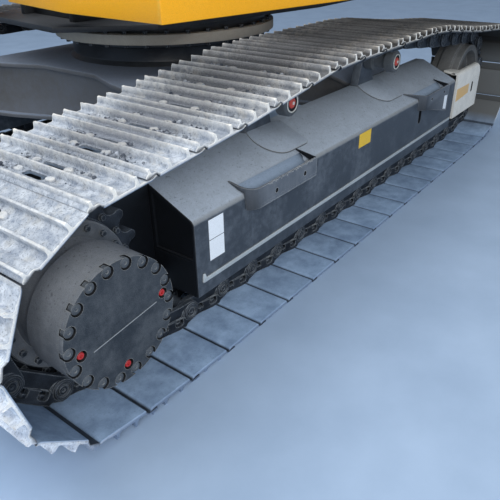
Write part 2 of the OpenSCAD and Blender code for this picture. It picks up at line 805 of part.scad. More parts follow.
roller_collars(-1);  // roller_collars_right
roller_collars(1);  // roller_collars_left
track_chain(-1);  // track_chain_right
track_chain(1);  // track_chain_left
track_shoes(-1);  // track_shoes_right
track_shoes(1);  // track_shoes_left
slew_outer_ring();
bottom_plate();
cheek_plate(-1);  // cheek_plate_right
cheek_plate(1);  // cheek_plate_left
side_rail(-1);  // side_rail_right
side_rail(1);  // side_rail_left
front_panel(-1);  // front_panel_right
front_panel(1);  // front_panel_left
cross_beams();
rear_beam();
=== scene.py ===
# %% [markdown]
# # A crawler excavator's undercarriage
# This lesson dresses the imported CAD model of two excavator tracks, their car body,
# the slew bearing and the frame that turns on it. The real machine stands on dusty
# ground, so nearly every surface carries a film of pale dust, and the steel shoes
# are worn bright where they meet stones.

import math
import random

import bmesh
import bpy
from mathutils import Euler, Matrix, Vector, noise


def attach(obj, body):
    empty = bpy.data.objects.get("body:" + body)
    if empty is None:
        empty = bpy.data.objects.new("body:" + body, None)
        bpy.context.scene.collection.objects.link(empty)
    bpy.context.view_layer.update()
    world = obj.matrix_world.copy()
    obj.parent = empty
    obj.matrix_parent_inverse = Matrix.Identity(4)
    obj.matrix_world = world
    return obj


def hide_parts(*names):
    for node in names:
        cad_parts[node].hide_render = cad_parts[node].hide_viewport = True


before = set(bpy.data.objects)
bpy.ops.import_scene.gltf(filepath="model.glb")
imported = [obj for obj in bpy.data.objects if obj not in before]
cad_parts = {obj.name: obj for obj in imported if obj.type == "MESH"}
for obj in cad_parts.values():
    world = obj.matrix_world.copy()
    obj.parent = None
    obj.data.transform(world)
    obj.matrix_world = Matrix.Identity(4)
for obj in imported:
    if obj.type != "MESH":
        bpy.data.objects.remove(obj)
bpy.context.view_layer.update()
scene = bpy.context.scene

# %% [markdown]
# ## Camera
# The picture was taken from above the rear of the right track, looking forwards and
# inwards. Its place was solved from the even gaps between the track shoes, so the
# camera is set with three angles and one focal length and needs no target.

# %% Camera
CAMERA_PLACE = (-2.4343, -2.4563, 1.3168)
YAW, PITCH, ROLL = (math.radians(a) for a in (52.4, 29.6, -0.9))
PICTURE_SIDE, FOCAL_PIXELS, SENSOR = 500, 555.4, 36.0

forward = Vector((math.sin(YAW) * math.cos(PITCH), math.cos(YAW) * math.cos(PITCH), -math.sin(PITCH)))
level = forward.cross(Vector((0, 0, 1))).normalized()
upright = level.cross(forward)
right = math.cos(ROLL) * level + math.sin(ROLL) * upright
top = math.cos(ROLL) * upright - math.sin(ROLL) * level
lens = bpy.data.cameras.new("Camera")
lens.sensor_width = SENSOR
lens.lens = FOCAL_PIXELS / PICTURE_SIDE * SENSOR
lens.clip_start, lens.clip_end = 0.05, 200
camera = bpy.data.objects.new("Camera", lens)
camera.matrix_world = Matrix.Translation(CAMERA_PLACE) @ Matrix((right, top, -forward)).transposed().to_4x4()
scene.collection.objects.link(camera)
scene.camera = camera
scene.view_settings.view_transform = "Standard"
print("lens", round(lens.lens, 2), "mm")

# %% [markdown]
# ## Nodes, written shortly
# A material is a small tree of nodes. Writing each node in one call keeps the recipes
# readable: the call names the kind of node, what goes into it, and its settings.

# %% Helpers for node trees
SOCKETS = {"value": "NodeSocketFloat", "colour": "NodeSocketColor", "vector": "NodeSocketVector",
           "geometry": "NodeSocketGeometry", "object": "NodeSocketObject", "material": "NodeSocketMaterial",
           "whole": "NodeSocketInt"}


def put(tree, kind, inputs=None, **settings):
    """One new node; inputs maps a socket's name or number to a value or to another node's output."""
    made = tree.nodes.new(kind)
    for key, value in settings.items():
        setattr(made, key, value)
    for key, value in (inputs or {}).items():
        if isinstance(value, bpy.types.NodeSocket):
            tree.links.new(value, made.inputs[key])
        else:
            made.inputs[key].default_value = value
    return made


def sums(tree, how, a, b=0.0, c=0.0, clamp=False):
    """A Math node's result."""
    return put(tree, "ShaderNodeMath", {0: a, 1: b, 2: c}, operation=how, use_clamp=clamp).outputs[0]


def times(tree, value, *factors):
    """A value multiplied by each factor in turn."""
    for factor in factors:
        value = sums(tree, "MULTIPLY", value, factor)
    return value


def wavering(tree, value, wave, amount, clamp=False):
    """A value that noise moves up and down."""
    return sums(tree, "MULTIPLY_ADD", sums(tree, "SUBTRACT", wave, 0.5), amount, value, clamp)


def blend(tree, share, a, b, how="MIX"):
    """A Mix node's colour."""
    return put(tree, "ShaderNodeMix", {0: share, 6: a, 7: b}, data_type="RGBA", blend_type=how).outputs[2]


def dimmed(tree, colour, tone):
    """A colour times a number."""
    grey = put(tree, "ShaderNodeCombineColor", {0: tone, 1: tone, 2: tone}).outputs[0]
    return blend(tree, 1.0, colour, grey, "MULTIPLY")


def spread(tree, value, low, high, to_low=0.0, to_high=1.0):
    """A value stretched from one range to another and held inside it."""
    return put(tree, "ShaderNodeMapRange", {0: value, 1: low, 2: high, 3: to_low, 4: to_high}).outputs[0]


def own_place(tree):
    """Where a point lies on its own piece, in metres."""
    return put(tree, "ShaderNodeTexCoord").outputs["Object"]


def cloud(tree, place, scale, detail=3.0, rough=0.55):
    """Soft noise from 0 to 1."""
    settings = {"Vector": place, "Scale": scale, "Detail": detail, "Roughness": rough}
    return put(tree, "ShaderNodeTexNoise", settings).outputs[0]


def group(name, inputs, outputs, kind="ShaderNodeTree"):
    """A new node group, its way in and its way out."""
    tree = bpy.data.node_groups.new(name, kind)
    for label, sort, value in inputs:
        socket = tree.interface.new_socket(label, in_out="INPUT", socket_type=SOCKETS[sort])
        if value is not None:
            socket.default_value = value
    for label, sort in outputs:
        tree.interface.new_socket(label, in_out="OUTPUT", socket_type=SOCKETS[sort])
    return tree, put(tree, "NodeGroupInput").outputs, put(tree, "NodeGroupOutput").inputs


def rgb(r, g, b):
    """A colour given as it looks on a screen, from 0 to 255, turned into light."""
    light = [c / 255 / 12.92 if c <= 10 else ((c / 255 + 0.055) / 1.055) ** 2.4 for c in (r, g, b)]
    return (*light, 1.0)


print("node helpers ready")

# %% [markdown]
# ## Dust
# Dust settles on what faces the sky and clings thinly to upright plates. The group
# reads how far a surface looks upwards, breaks the edge of the film with noise at
# three sizes, lets small pits of bare paint through, and gives back a colour, a
# roughness and a height for the bump. Its last output, the crest, marks where a plate
# bends from flat to steep; the colour laid there is partly dust rubbed thin by boots
# and mud and partly a painted sheen of the sky.

# %% Shader group: dust film
dust_film, given, result = group("Dust film", [
    ("Paint", "colour", rgb(90, 92, 95)), ("Dust", "colour", rgb(170, 178, 186)), ("Cover", "value", 0.7),
    ("Side cover", "value", 0.2), ("Gloss", "value", 0.5), ("Patch scale", "value", 5.0)],
    [("Color", "colour"), ("Roughness", "value"), ("Height", "value"), ("Mask", "value"), ("Crest wear and sheen", "value")])
place = own_place(dust_film)
normal = put(dust_film, "ShaderNodeNewGeometry").outputs["Normal"]
facing = put(dust_film, "ShaderNodeSeparateXYZ", {0: normal}).outputs[2]
upward = spread(dust_film, facing, 0.05, 0.85)
patches = cloud(dust_film, place, given["Patch scale"], 5.0, 0.62)
blotches = cloud(dust_film, place, 38.0, 4.0, 0.6)
grains = cloud(dust_film, place, 420.0, 2.0, 0.7)
small_pits = spread(dust_film, cloud(dust_film, place, 120.0, 4.0, 0.6), 0.60, 0.68, 0.0, 0.4)
large_pits = spread(dust_film, cloud(dust_film, place, 34.0, 5.0, 0.7), 0.64, 0.70, 0.0, 0.5)
pits = sums(dust_film, "MAXIMUM", small_pits, large_pits)
extra = sums(dust_film, "SUBTRACT", given["Cover"], given["Side cover"])
settled = sums(dust_film, "MULTIPLY_ADD", upward, extra, given["Side cover"])
uneven = wavering(dust_film, wavering(dust_film, settled, patches, 0.5), blotches, 0.3)
uneven = sums(dust_film, "SUBTRACT", uneven, times(dust_film, pits, upward))
film = wavering(dust_film, uneven, grains, 0.3, clamp=True)
dirty = blend(dust_film, film, given["Paint"], given["Dust"])
toned = dimmed(dust_film, dirty, spread(dust_film, grains, 0.3, 0.7, 0.86, 1.10))
# The crest: where a plate bends, partly dust rubbed thin and partly a painted sheen.
turning = times(dust_film, spread(dust_film, facing, 0.08, 0.35), spread(dust_film, facing, 0.88, 0.66))
crest_wear_and_sheen = times(dust_film, turning, spread(dust_film, patches, 0.25, 0.6, 0.35, 1.0))
roughness = spread(dust_film, film, 0.0, 0.7, given["Gloss"], 0.92)
height = sums(dust_film, "MULTIPLY_ADD", blotches, 0.6, times(dust_film, grains, 0.4))
for socket, value in (("Color", toned), ("Roughness", roughness), ("Height", height), ("Mask", film),
                      ("Crest wear and sheen", crest_wear_and_sheen)):
    dust_film.links.new(value, result[socket])
print("group:", dust_film.name)

# %% [markdown]
# ## Worn edges
# Paint and dust rub off first where two faces meet. A Bevel node rounds the normal
# near an edge; where it differs from the true normal, there is an edge, and noise
# keeps the wear from looking drawn on.

# %% Shader group: worn edges
worn_edges, given, result = group("Worn edges", [("Width", "value", 0.006), ("Amount", "value", 1.0)],
                                  [("Mask", "value")])
place = own_place(worn_edges)
eased = put(worn_edges, "ShaderNodeBevel", {"Radius": given["Width"]}, samples=4).outputs[0]
flat = put(worn_edges, "ShaderNodeNewGeometry").outputs["Normal"]
turn = put(worn_edges, "ShaderNodeVectorMath", {0: eased, 1: flat}, operation="DOT_PRODUCT").outputs["Value"]
edge = spread(worn_edges, turn, 0.99, 0.86)
broken = spread(worn_edges, cloud(worn_edges, place, 55.0, 4.0, 0.7), 0.32, 0.6, 0.25, 1.0)
worn_edges.links.new(times(worn_edges, edge, broken, given["Amount"]), result["Mask"])
print("group:", worn_edges.name)

# %% [markdown]
# ## Grit
# Clods of dried mud lie on the shoes in crisp, dark and pale crumbs; on the shoes the
# dark tone also paints the crumbs' shadows. Two noises of different sizes, one bending
# the other, give islands with ragged rims.

# %% Shader group: grit
grit, given, result = group("Grit", [("Scale", "value", 28.0), ("Share", "value", 0.5)],
                            [("Mask", "value"), ("Tone", "value"), ("Height", "value")])
place = own_place(grit)
swirl = put(grit, "ShaderNodeTexNoise", {"Vector": place, "Scale": 60.0, "Detail": 3.0}).outputs[1]
BEND_BY = (0.02, 0.02, 0.02)
bent = put(grit, "ShaderNodeVectorMath", {0: place, 1: swirl, 2: BEND_BY},
           operation="MULTIPLY_ADD").outputs[0]
islands = cloud(grit, bent, given["Scale"], 6.0, 0.68)
crumbs = cloud(grit, bent, 85.0, 5.0, 0.72)
rim = sums(grit, "SUBTRACT", 0.72, times(grit, given["Share"], 0.4))
mask = spread(grit, islands, rim, sums(grit, "ADD", rim, 0.09))
grit.links.new(mask, result["Mask"])
grit.links.new(spread(grit, crumbs, 0.41, 0.58), result["Tone"])
grit.links.new(sums(grit, "MULTIPLY_ADD", crumbs, 0.5, times(grit, mask, 0.8)), result["Height"])
print("group:", grit.name)

# %% [markdown]
# ## Finishes
# One recipe serves every painted plate: paint, dust film, bright worn edges and
# faint rain streaks. Each finish is the same recipe with its own colours. A crest
# colour, partly rubbed dust and partly a painted sheen, shows where a plate bends,
# and a painted shade colour where a mesh carries a number for dark corners.

# %% Painted finishes
CREST_WEAR_AND_SHEEN_SHARE = 0.65


def principled(name):
    """A new material with its Principled shader."""
    finish = bpy.data.materials.new(name)
    finish.use_nodes = True
    return finish, finish.node_tree, finish.node_tree.nodes["Principled BSDF"]


def grouped(tree, name, inputs):
    """A shader group placed in a tree."""
    return put(tree, "ShaderNodeGroup", inputs, node_tree=name).outputs


def raise_surface(tree, shader, height, distance, strength=0.6):
    """Feeds a height into the shader's normal."""
    bump = put(tree, "ShaderNodeBump", {"Height": height, "Distance": distance, "Strength": strength})
    tree.links.new(bump.outputs[0], shader.inputs["Normal"])


def attribute(tree, name):
    """The number that a mesh carries under a name."""
    return put(tree, "ShaderNodeAttribute", attribute_name=name).outputs["Fac"]


def painted(name, paint, dust, cover, side_cover, gloss=0.5, edge=None, edge_width=0.006, edge_amount=0.8,
            streaks=0.1, patch_scale=5.0, metallic=0.0, bump=0.0012, crest_wear_and_sheen=None, shade=None):
    """A painted and dusty steel finish."""
    finish, tree, shader = principled(name)
    place = own_place(tree)
    drawn_out = put(tree, "ShaderNodeMapping", {0: place, 3: (30.0, 30.0, 1.6)}).outputs[0]
    runs = spread(tree, cloud(tree, drawn_out, 1.0, 4.0, 0.6), 0.45, 0.8, 0.0, streaks)
    side = sums(tree, "ADD", runs, side_cover)
    film = grouped(tree, dust_film, {"Paint": paint, "Dust": dust, "Cover": cover, "Side cover": side,
                                     "Gloss": gloss, "Patch scale": patch_scale})
    colour = film["Color"]
    # The crest colour is partly dust rubbed thin and partly a painted sheen on the bend.
    if crest_wear_and_sheen:
        colour = blend(tree, times(tree, film["Crest wear and sheen"], CREST_WEAR_AND_SHEEN_SHARE), colour, crest_wear_and_sheen)
    if edge:
        worn = grouped(tree, worn_edges, {"Width": edge_width, "Amount": edge_amount})["Mask"]
        colour = blend(tree, worn, colour, edge)
    # Painted shade where a mesh carries the number.
    if shade:
        colour = blend(tree, attribute(tree, "shade"), colour, shade)
    tree.links.new(colour, shader.inputs["Base Color"])
    tree.links.new(film["Roughness"], shader.inputs["Roughness"])
    shader.inputs["Metallic"].default_value = metallic
    raise_surface(tree, shader, film["Height"], bump)
    return finish


DUST = rgb(180, 192, 206)
# Its crest colour paints a sheen on the bend of the top plate, with dust rubbed thin.
frame_paint = painted("frame_paint", paint=rgb(55, 62, 71), dust=DUST, cover=0.92, side_cover=0.02,
                      gloss=0.42, edge=rgb(150, 150, 146), edge_width=0.009, edge_amount=0.6, streaks=0.05,
                      crest_wear_and_sheen=rgb(138, 138, 134))
# Near-black that paints shade: rear ends, slots, hollows and parts that sit in shade.
near_black_shade = painted("near_black_shade", paint=rgb(8, 11, 16), dust=rgb(34, 39, 46), cover=0.3, side_cover=0.0,
                    edge=rgb(34, 38, 44), edge_amount=0.5, streaks=0.04)
step_paint = painted("step_paint", paint=rgb(74, 82, 92), dust=rgb(146, 152, 160), cover=0.75,
                     side_cover=0.22, edge=rgb(196, 198, 196), edge_width=0.005, edge_amount=1.0,
                     streaks=0.16, patch_scale=14.0, shade=rgb(20, 24, 30))
pocket_dust = painted("pocket_dust", paint=rgb(100, 114, 130), dust=rgb(158, 177, 200), cover=0.92,
                      side_cover=0.5, gloss=0.9, shade=rgb(36, 44, 54))
bar_dusty = painted("bar_dusty", paint=rgb(120, 130, 138), dust=rgb(186, 196, 202), cover=0.95,
                    side_cover=0.72, gloss=0.7, edge=rgb(214, 216, 212), edge_width=0.004)
guard_paint = painted("guard_paint", paint=rgb(120, 123, 126), dust=rgb(232, 231, 225), cover=0.98,
                      side_cover=0.9, gloss=0.6, edge=rgb(226, 222, 208), edge_width=0.010, edge_amount=0.6,
                      patch_scale=7.0)
drum_paint = painted("drum_paint", paint=rgb(31, 37, 44), dust=rgb(144, 150, 156), cover=0.75,
                     side_cover=0.08, edge=rgb(160, 158, 152), edge_width=0.003, edge_amount=0.9,
                     streaks=0.06, patch_scale=6.0)
# Drum side and rim: a paler copy of the drum's paint with more dust, the paler tone partly painted light
# thrown up by the bright ground.
drum_side_dust_and_bounce_light = painted("drum_side_dust_and_bounce_light", paint=rgb(52, 58, 65), dust=rgb(156, 160, 165), cover=0.7, side_cover=0.25,
                    gloss=0.55, edge=rgb(150, 150, 146), edge_width=0.004, edge_amount=0.6, streaks=0.08,
                    patch_scale=9.0)
bolt_dusty = painted("bolt_dusty", paint=rgb(44, 50, 57), dust=rgb(126, 132, 138), cover=0.5, side_cover=0.16,
                     gloss=0.6, edge=rgb(160, 162, 160), edge_width=0.002, patch_scale=9.0)
scribed = painted("scribed_line", paint=rgb(150, 156, 162), dust=rgb(150, 156, 162), cover=0.3,
                  side_cover=0.1, gloss=0.6)
black_paint = painted("black_paint", paint=rgb(24, 26, 29), dust=rgb(84, 86, 88), cover=0.3, side_cover=0.04,
                      gloss=0.4, edge=rgb(84, 82, 78), edge_amount=0.4)
body_paint = painted("body_paint", paint=rgb(84, 83, 82), dust=rgb(112, 124, 142), cover=0.9, side_cover=0.12,
                     edge=rgb(150, 148, 144), edge_width=0.008, edge_amount=0.6, streaks=0.04)
tub_paint = painted("tub_paint", paint=rgb(24, 27, 32), dust=rgb(74, 78, 82), cover=0.25, side_cover=0.04,
                    gloss=0.3, edge=rgb(96, 100, 104), edge_width=0.004, edge_amount=0.5, streaks=0.02)
bearing_paint = painted("bearing_steel", paint=rgb(140, 134, 122), dust=rgb(186, 180, 168), cover=0.6,
                        side_cover=0.5, gloss=0.4, edge=rgb(150, 146, 136), edge_width=0.005, edge_amount=0.5)
# The paler yellow on its edges is a painted highlight along the panels' lips.
yellow_paint = painted("yellow_enamel", paint=rgb(255, 180, 14), dust=rgb(255, 194, 70), cover=0.2,
                       side_cover=0.0, gloss=0.35, edge=rgb(255, 206, 90), edge_width=0.004, edge_amount=0.4,
                       streaks=0.02)
iron = painted("running_gear_iron", paint=rgb(22, 25, 31), dust=rgb(100, 110, 122), cover=0.5,
               side_cover=0.06, gloss=0.45, edge=rgb(160, 166, 170), edge_width=0.005, patch_scale=12.0,
               metallic=0.3, bump=0.002)
roller_paint = painted("roller_paint", paint=rgb(60, 64, 68), dust=rgb(136, 140, 142), cover=0.6,
                       side_cover=0.2, edge=rgb(150, 150, 146), edge_width=0.004, edge_amount=0.6)
idler_paint = painted("idler_paint", paint=rgb(62, 63, 64), dust=rgb(148, 149, 148), cover=0.55,
                      side_cover=0.32, edge=rgb(190, 188, 182), edge_width=0.008, edge_amount=1.0,
                      patch_scale=9.0)
label_orange = painted("label_orange", paint=rgb(236, 186, 104), dust=rgb(206, 196, 176), cover=0.3,
                       side_cover=0.3, gloss=0.4, streaks=0.05, bump=0.0002)
# Black rubber for the carrier rollers' seals; also painted shade, black, in the drum's pockets and holes, the
# strap's drain holes and the guard's slot.
black_rubber_and_shade = painted("seal_black_and_shade", paint=rgb(12, 13, 15), dust=rgb(46, 48, 52), cover=0.3, side_cover=0.0,
                      gloss=0.6)
cap_red = painted("cap_red", paint=rgb(206, 60, 46), dust=rgb(190, 122, 112), cover=0.4, side_cover=0.12,
                  gloss=0.4, edge=rgb(226, 140, 124), edge_width=0.003, edge_amount=0.6)
plug_red = painted("plug_red", paint=rgb(176, 30, 34), dust=rgb(120, 66, 64), cover=0.3, side_cover=0.0,
                   gloss=0.4, edge=rgb(206, 90, 84), edge_width=0.002, edge_amount=0.6)
label_white = painted("label_white", paint=rgb(240, 246, 252), dust=rgb(206, 216, 228), cover=0.3,
                      side_cover=0.0, gloss=0.35, streaks=0.05, bump=0.0002)
label_yellow = painted("label_yellow", paint=rgb(240, 196, 40), dust=rgb(190, 172, 116), cover=0.3,
                       side_cover=0.0, gloss=0.35, streaks=0.05, bump=0.0002)
print("finishes:", len(bpy.data.materials))

# %% [markdown]
# ## The shoes' steel
# A track shoe is never painted for long. Its plate is pale with dust, its grousers
# are rubbed bright and a little tan at the tips, and grit sticks in the middle of
# the upper run. Attributes on the mesh say where a shoe is worn, which face looks
# outwards and where shoes overlap; the rest follows from where the point is. Painted
# shade darkens the upper run forwards, the plate between its grousers, the grooves
# where shoes overlap and the crumbs' shadows.

# %% Shoe steel
WARM = (1.0, 0.90, 0.78, 1.0)
TRACK_MIDDLE = 1.15


def painted_run_shade(tree, along, high):
    """The tone of the steel at a place, as painted shade: brightest on the lower run and over the sprocket,
    darker forwards on the upper run, under the machine's upper works.
    """
    rear = spread(tree, along, -1.95, -1.45, 0.70, 0.74)
    middle = spread(tree, along, -1.25, -0.45, 1.0, 0.50)
    front = spread(tree, along, -0.45, 0.3, 1.0, 0.36)
    tone = times(tree, rear, middle, front)
    return sums(tree, "MAXIMUM", tone, spread(tree, high, 0.66, 0.5))


def shoe_finish():
    """Dusty steel with bright tips, clean inner faces, grit on the upper run and painted shade on that run.

    The ranges of axes[0] and axes[2] are places in metres: forwards along the track and up.
    """
    finish, tree, shader = principled("shoe_steel")
    place = own_place(tree)
    axes = put(tree, "ShaderNodeSeparateXYZ", {0: place}).outputs
    worn, outer, tint, seam = (attribute(tree, name) for name in ("worn", "outer", "tint", "seam"))
    patches = cloud(tree, place, 11.0, 5.0, 0.65)
    blots = cloud(tree, place, 34.0, 5.0, 0.66)
    fine = cloud(tree, place, 190.0, 3.0, 0.7)
    pale = blend(tree, spread(tree, blots, 0.34, 0.58), rgb(160, 172, 190), rgb(226, 234, 244))
    pale = blend(tree, spread(tree, patches, 0.44, 0.64, 0.0, 0.6), pale, rgb(156, 168, 186))
    pale = blend(tree, spread(tree, cloud(tree, place, 24.0, 4.0, 0.6), 0.52, 0.68, 0.0, 0.35), pale,
                 rgb(196, 190, 176))
    pale = blend(tree, spread(tree, fine, 0.55, 0.66, 0.0, 0.6), pale, rgb(72, 78, 90))
    inner = blend(tree, spread(tree, patches, 0.35, 0.65), rgb(118, 142, 173), rgb(152, 178, 209))
    inner = blend(tree, spread(tree, fine, 0.58, 0.70, 0.0, 0.4), inner, rgb(70, 84, 104))
    in_front = times(tree, spread(tree, axes[0], 1.25, 1.6), spread(tree, axes[2], 0.05, 0.14))
    inner = blend(tree, in_front, inner, rgb(104, 106, 106))
    buried = spread(tree, axes[2], 0.06, 0.12, 1.0, 0.0)
    colour = blend(tree, outer, inner, blend(tree, buried, pale, rgb(112, 130, 156)))
    across = sums(tree, "ABSOLUTE", sums(tree, "SUBTRACT", sums(tree, "ABSOLUTE", axes[1]), TRACK_MIDDLE))
    middle = spread(tree, across, 0.28, 0.10)
    ahead = times(tree, spread(tree, axes[0], -1.85, -1.45), spread(tree, axes[2], 0.6, 0.72))
    share = times(tree, middle, ahead, outer)
    lumps = grouped(tree, grit, {"Scale": 17.0, "Share": times(tree, share, 0.8)})
    # Dark specks: partly dark grit, partly painted shadows of the crumbs.
    specks_and_shadows = times(tree, spread(tree, cloud(tree, place, 95.0, 4.0, 0.75), 0.52, 0.60, 0.0, 0.75), share)
    colour = blend(tree, specks_and_shadows, colour, rgb(74, 86, 108))
    # The crumbs' dark end is partly dark grit and partly their painted shadows.
    crumb = blend(tree, lumps["Tone"], rgb(48, 56, 72), rgb(204, 212, 226))
    colour = blend(tree, times(tree, lumps["Mask"], share), colour, crumb)
    # Each shoe's random tint, times the painted shade along the run.
    tone = times(tree, sums(tree, "MULTIPLY_ADD", tint, 0.16, 0.92), painted_run_shade(tree, axes[0], axes[2]))
    # Forwards on the upper run the steel turns browner with dirt; the same mask paints shade between the
    # grousers.
    browner_and_shaded_ahead = times(tree, spread(tree, axes[0], -1.35, -0.2, 0.0, 0.9), spread(tree, axes[2], 0.5, 0.66))
    warmer = blend(tree, 1.0, colour, WARM, "MULTIPLY")
    colour = dimmed(tree, blend(tree, browner_and_shaded_ahead, colour, warmer), tone)
    rubbed = spread(tree, cloud(tree, place, 48.0, 4.0, 0.65), 0.3, 0.62, 0.35, 1.0)
    # Painted shade of the grousers on the plate between them, forwards on the upper run.
    between = times(tree, spread(tree, worn, 0.0, 0.22, 1.0, 0.0), times(tree, browner_and_shaded_ahead, outer))
    colour = dimmed(tree, colour, spread(tree, between, 0.0, 1.0, 1.0, 0.22))
    bright = blend(tree, cloud(tree, place, 22.0), rgb(232, 226, 210), rgb(246, 248, 250))
    thinned = sums(tree, "POWER", worn, spread(tree, axes[0], -1.0, -0.3, 0.8, 3.0))
    above = times(tree, thinned, rubbed, spread(tree, axes[2], 0.16, 0.4, 0.0, 1.0))
    colour = blend(tree, above, colour, bright)
    # Painted shade in the groove where shoes overlap, partly the darker bare steel of the lip.
    seam_shade_and_bare_steel = times(tree, seam, spread(tree, in_front, 0.0, 1.0, 1.0, 0.45))
    colour = dimmed(tree, colour, spread(tree, seam_shade_and_bare_steel, 0.0, 1.0, 1.0, 0.12))
    tree.links.new(colour, shader.inputs["Base Color"])
    tree.links.new(spread(tree, worn, 0.0, 1.0, 0.88, 0.55), shader.inputs["Roughness"])
    height = sums(tree, "MULTIPLY_ADD", fine, 0.35, times(tree, blots, 0.5))
    height = times(tree, height, spread(tree, outer, 0.0, 1.0, 0.2, 0.5))
    raise_surface(tree, shader, sums(tree, "MULTIPLY_ADD", lumps["Height"], share, height), 0.006)
    return finish


def crumb_finish():
    """Dry clods, each with its own tone."""
    finish, tree, shader = principled("crumb_dust")
    place = own_place(tree)
    axes = put(tree, "ShaderNodeSeparateXYZ", {0: place}).outputs
    fine = cloud(tree, place, 240.0, 3.0, 0.7)
    own = sums(tree, "POWER", attribute(tree, "tint"), 1.4)
    tone = sums(tree, "MULTIPLY_ADD", own, 0.9, sums(tree, "MULTIPLY_ADD", fine, 0.4, -0.2), clamp=True)
    colour = blend(tree, tone, rgb(60, 68, 82), rgb(210, 218, 230))
    # The clods darken forwards with the same painted shade as the shoes.
    tree.links.new(dimmed(tree, colour, painted_run_shade(tree, axes[0], axes[2])), shader.inputs["Base Color"])
    shader.inputs["Roughness"].default_value = 0.95
    raise_surface(tree, shader, fine, 0.003)
    return finish


shoe_steel, crumb_dust = shoe_finish(), crumb_finish()
print("finishes:", shoe_steel.name, crumb_dust.name)

# %% [markdown]
# ## Floor and light
# The floor is plain and pale, a little blue like the dry dust in the picture. The
# grousers have sunk into that dust, so it lies a little above their tips. Light comes
# from a pale sky all round, a wide lamp above and one low at the open side of the
# track, which reaches the sloping plate under the upper run.

# %% Floor, world and lamps
FLOOR_HALF = 45.0
FLOOR_SEEN = rgb(150, 170, 196)
SUNK = 0.021


def pale_floor():
    """A floor with the faint unevenness of dry ground."""
    finish, tree, shader = principled("floor")
    place = own_place(tree)
    tone = spread(tree, cloud(tree, place, 3.0, 6.0, 0.6), 0.3, 0.7)
    tree.links.new(blend(tree, tone, rgb(150, 172, 199), rgb(162, 184, 211)), shader.inputs["Base Color"])
    shader.inputs["Roughness"].default_value = 0.95
    corners = [(-1, -1), (1, -1), (1, 1), (-1, 1)]
    mesh = bpy.data.meshes.new("floor")
    mesh.from_pydata([(x * FLOOR_HALF, y * FLOOR_HALF, SUNK) for x, y in corners], [], [(0, 1, 2, 3)])
    mesh.materials.append(finish)
    floor = bpy.data.objects.new("floor", mesh)
    scene.collection.objects.link(floor)


def sky(level):
    """Plain light from all round; the camera, gloss and glass see the floor's colour instead."""
    world = bpy.data.worlds.new("Sky")
    scene.world = world
    world.use_nodes = True
    tree = world.node_tree
    tree.nodes.clear()
    path = put(tree, "ShaderNodeLightPath").outputs
    seen = sums(tree, "ADD", path["Is Camera Ray"], path["Is Glossy Ray"])
    seen = sums(tree, "ADD", seen, path["Is Transmission Ray"], clamp=True)
    light = put(tree, "ShaderNodeBackground", {0: (0.86, 0.93, 1.0, 1.0), 1: level})
    shown = put(tree, "ShaderNodeBackground", {0: FLOOR_SEEN, 1: 1.0})
    mixed = put(tree, "ShaderNodeMixShader", {0: seen, 1: light.outputs[0], 2: shown.outputs[0]})
    put(tree, "ShaderNodeOutputWorld", {0: mixed.outputs[0]})


def lamp(name, place, target, size, watts):
    """A square soft lamp at a place, turned to a target."""
    light = bpy.data.lights.new(name, "AREA")
    light.size, light.energy = size, watts
    held = bpy.data.objects.new(name, light)
    held.location = place
    held.rotation_euler = (Vector(target) - Vector(place)).to_track_quat("-Z", "Y").to_euler()
    scene.collection.objects.link(held)


pale_floor()
sky(level=0.5)
lamp("Softbox above", place=(-2.5, 1.0, 6.0), target=(-0.4, -0.6, 0.3), size=5.0, watts=250)
lamp("Softbox side", place=(-4.6, -5.3, 3.4), target=(-0.8, -1.1, 0.5), size=4.0, watts=260)
print("floor", 2 * FLOOR_HALF, "m across")

# %% [markdown]
# ## Drawing plates, turned parts and rods
# Numbers below are millimetres, as on a workshop drawing; a mesh becomes metres when
# it is finished. A side view is drawn in x and z, and depth is counted outwards from
# the middle of a track, so one drawing makes the right and the left piece.

# %% Helpers for meshes
MM = 0.001
GAUGE = 2300
SIDES = {"right": -1, "left": 1}
LOWER, UPPER = "undercarriage", "turning_frame"


def on_side(side, x=0, z=0):
    """Places a drawn point (x, z) at a depth outwards from one track's middle."""
    return lambda a, b, depth: Vector((x + a, side * (GAUGE / 2 + depth), z + b))


def ring(radius, count, start=0.0, x=0.0, z=0.0, angle=2 * math.pi):
    """Points round a circle or part of it."""
    steps = count if angle >= 2 * math.pi - 1e-6 else count - 1
    turns = [start + angle * i / steps for i in range(count)]
    return [(x + radius * math.cos(turn), z + radius * math.sin(turn)) for turn in turns]


def plate(bm, outline, holes, at, near, far):
    """A flat plate with holes, from one depth to another."""
    made = []
    for depth in (near, far):
        loops = [[bm.verts.new(at(a, b, depth)) for a, b in line] for line in [outline] + list(holes)]
        edges = [bm.edges.new((line[i], line[(i + 1) % len(line)]))
                 for line in loops for i in range(len(line))]
        bmesh.ops.triangle_fill(bm, use_beauty=True, use_dissolve=False, edges=edges)
        made.append(loops)
    for front, back in zip(*made):
        for i in range(len(front)):
            k = (i + 1) % len(front)
            bm.faces.new((front[i], front[k], back[k], back[i]))


def turned(bm, profile, count, at):
    """A turned part: profile is (radius, depth) pairs; it closes on itself or on the axis."""
    lines = []
    for radius, depth in profile:
        if radius <= 0:
            lines.append([bm.verts.new(at(0, 0, depth))])
        else:
            lines.append([bm.verts.new(at(a, b, depth)) for a, b in ring(radius, count)])
    closed = profile[0][0] > 0 and profile[-1][0] > 0
    pairs = list(zip(lines, lines[1:] + lines[:1])) if closed else list(zip(lines, lines[1:]))
    for one, two in pairs:
        for i in range(count):
            k = (i + 1) % count
            corners = [one[i % len(one)], one[k % len(one)], two[k % len(two)], two[i % len(two)]]
            corners = [v for n, v in enumerate(corners) if v not in corners[:n]]
            if len(corners) > 2:
                bm.faces.new(corners)


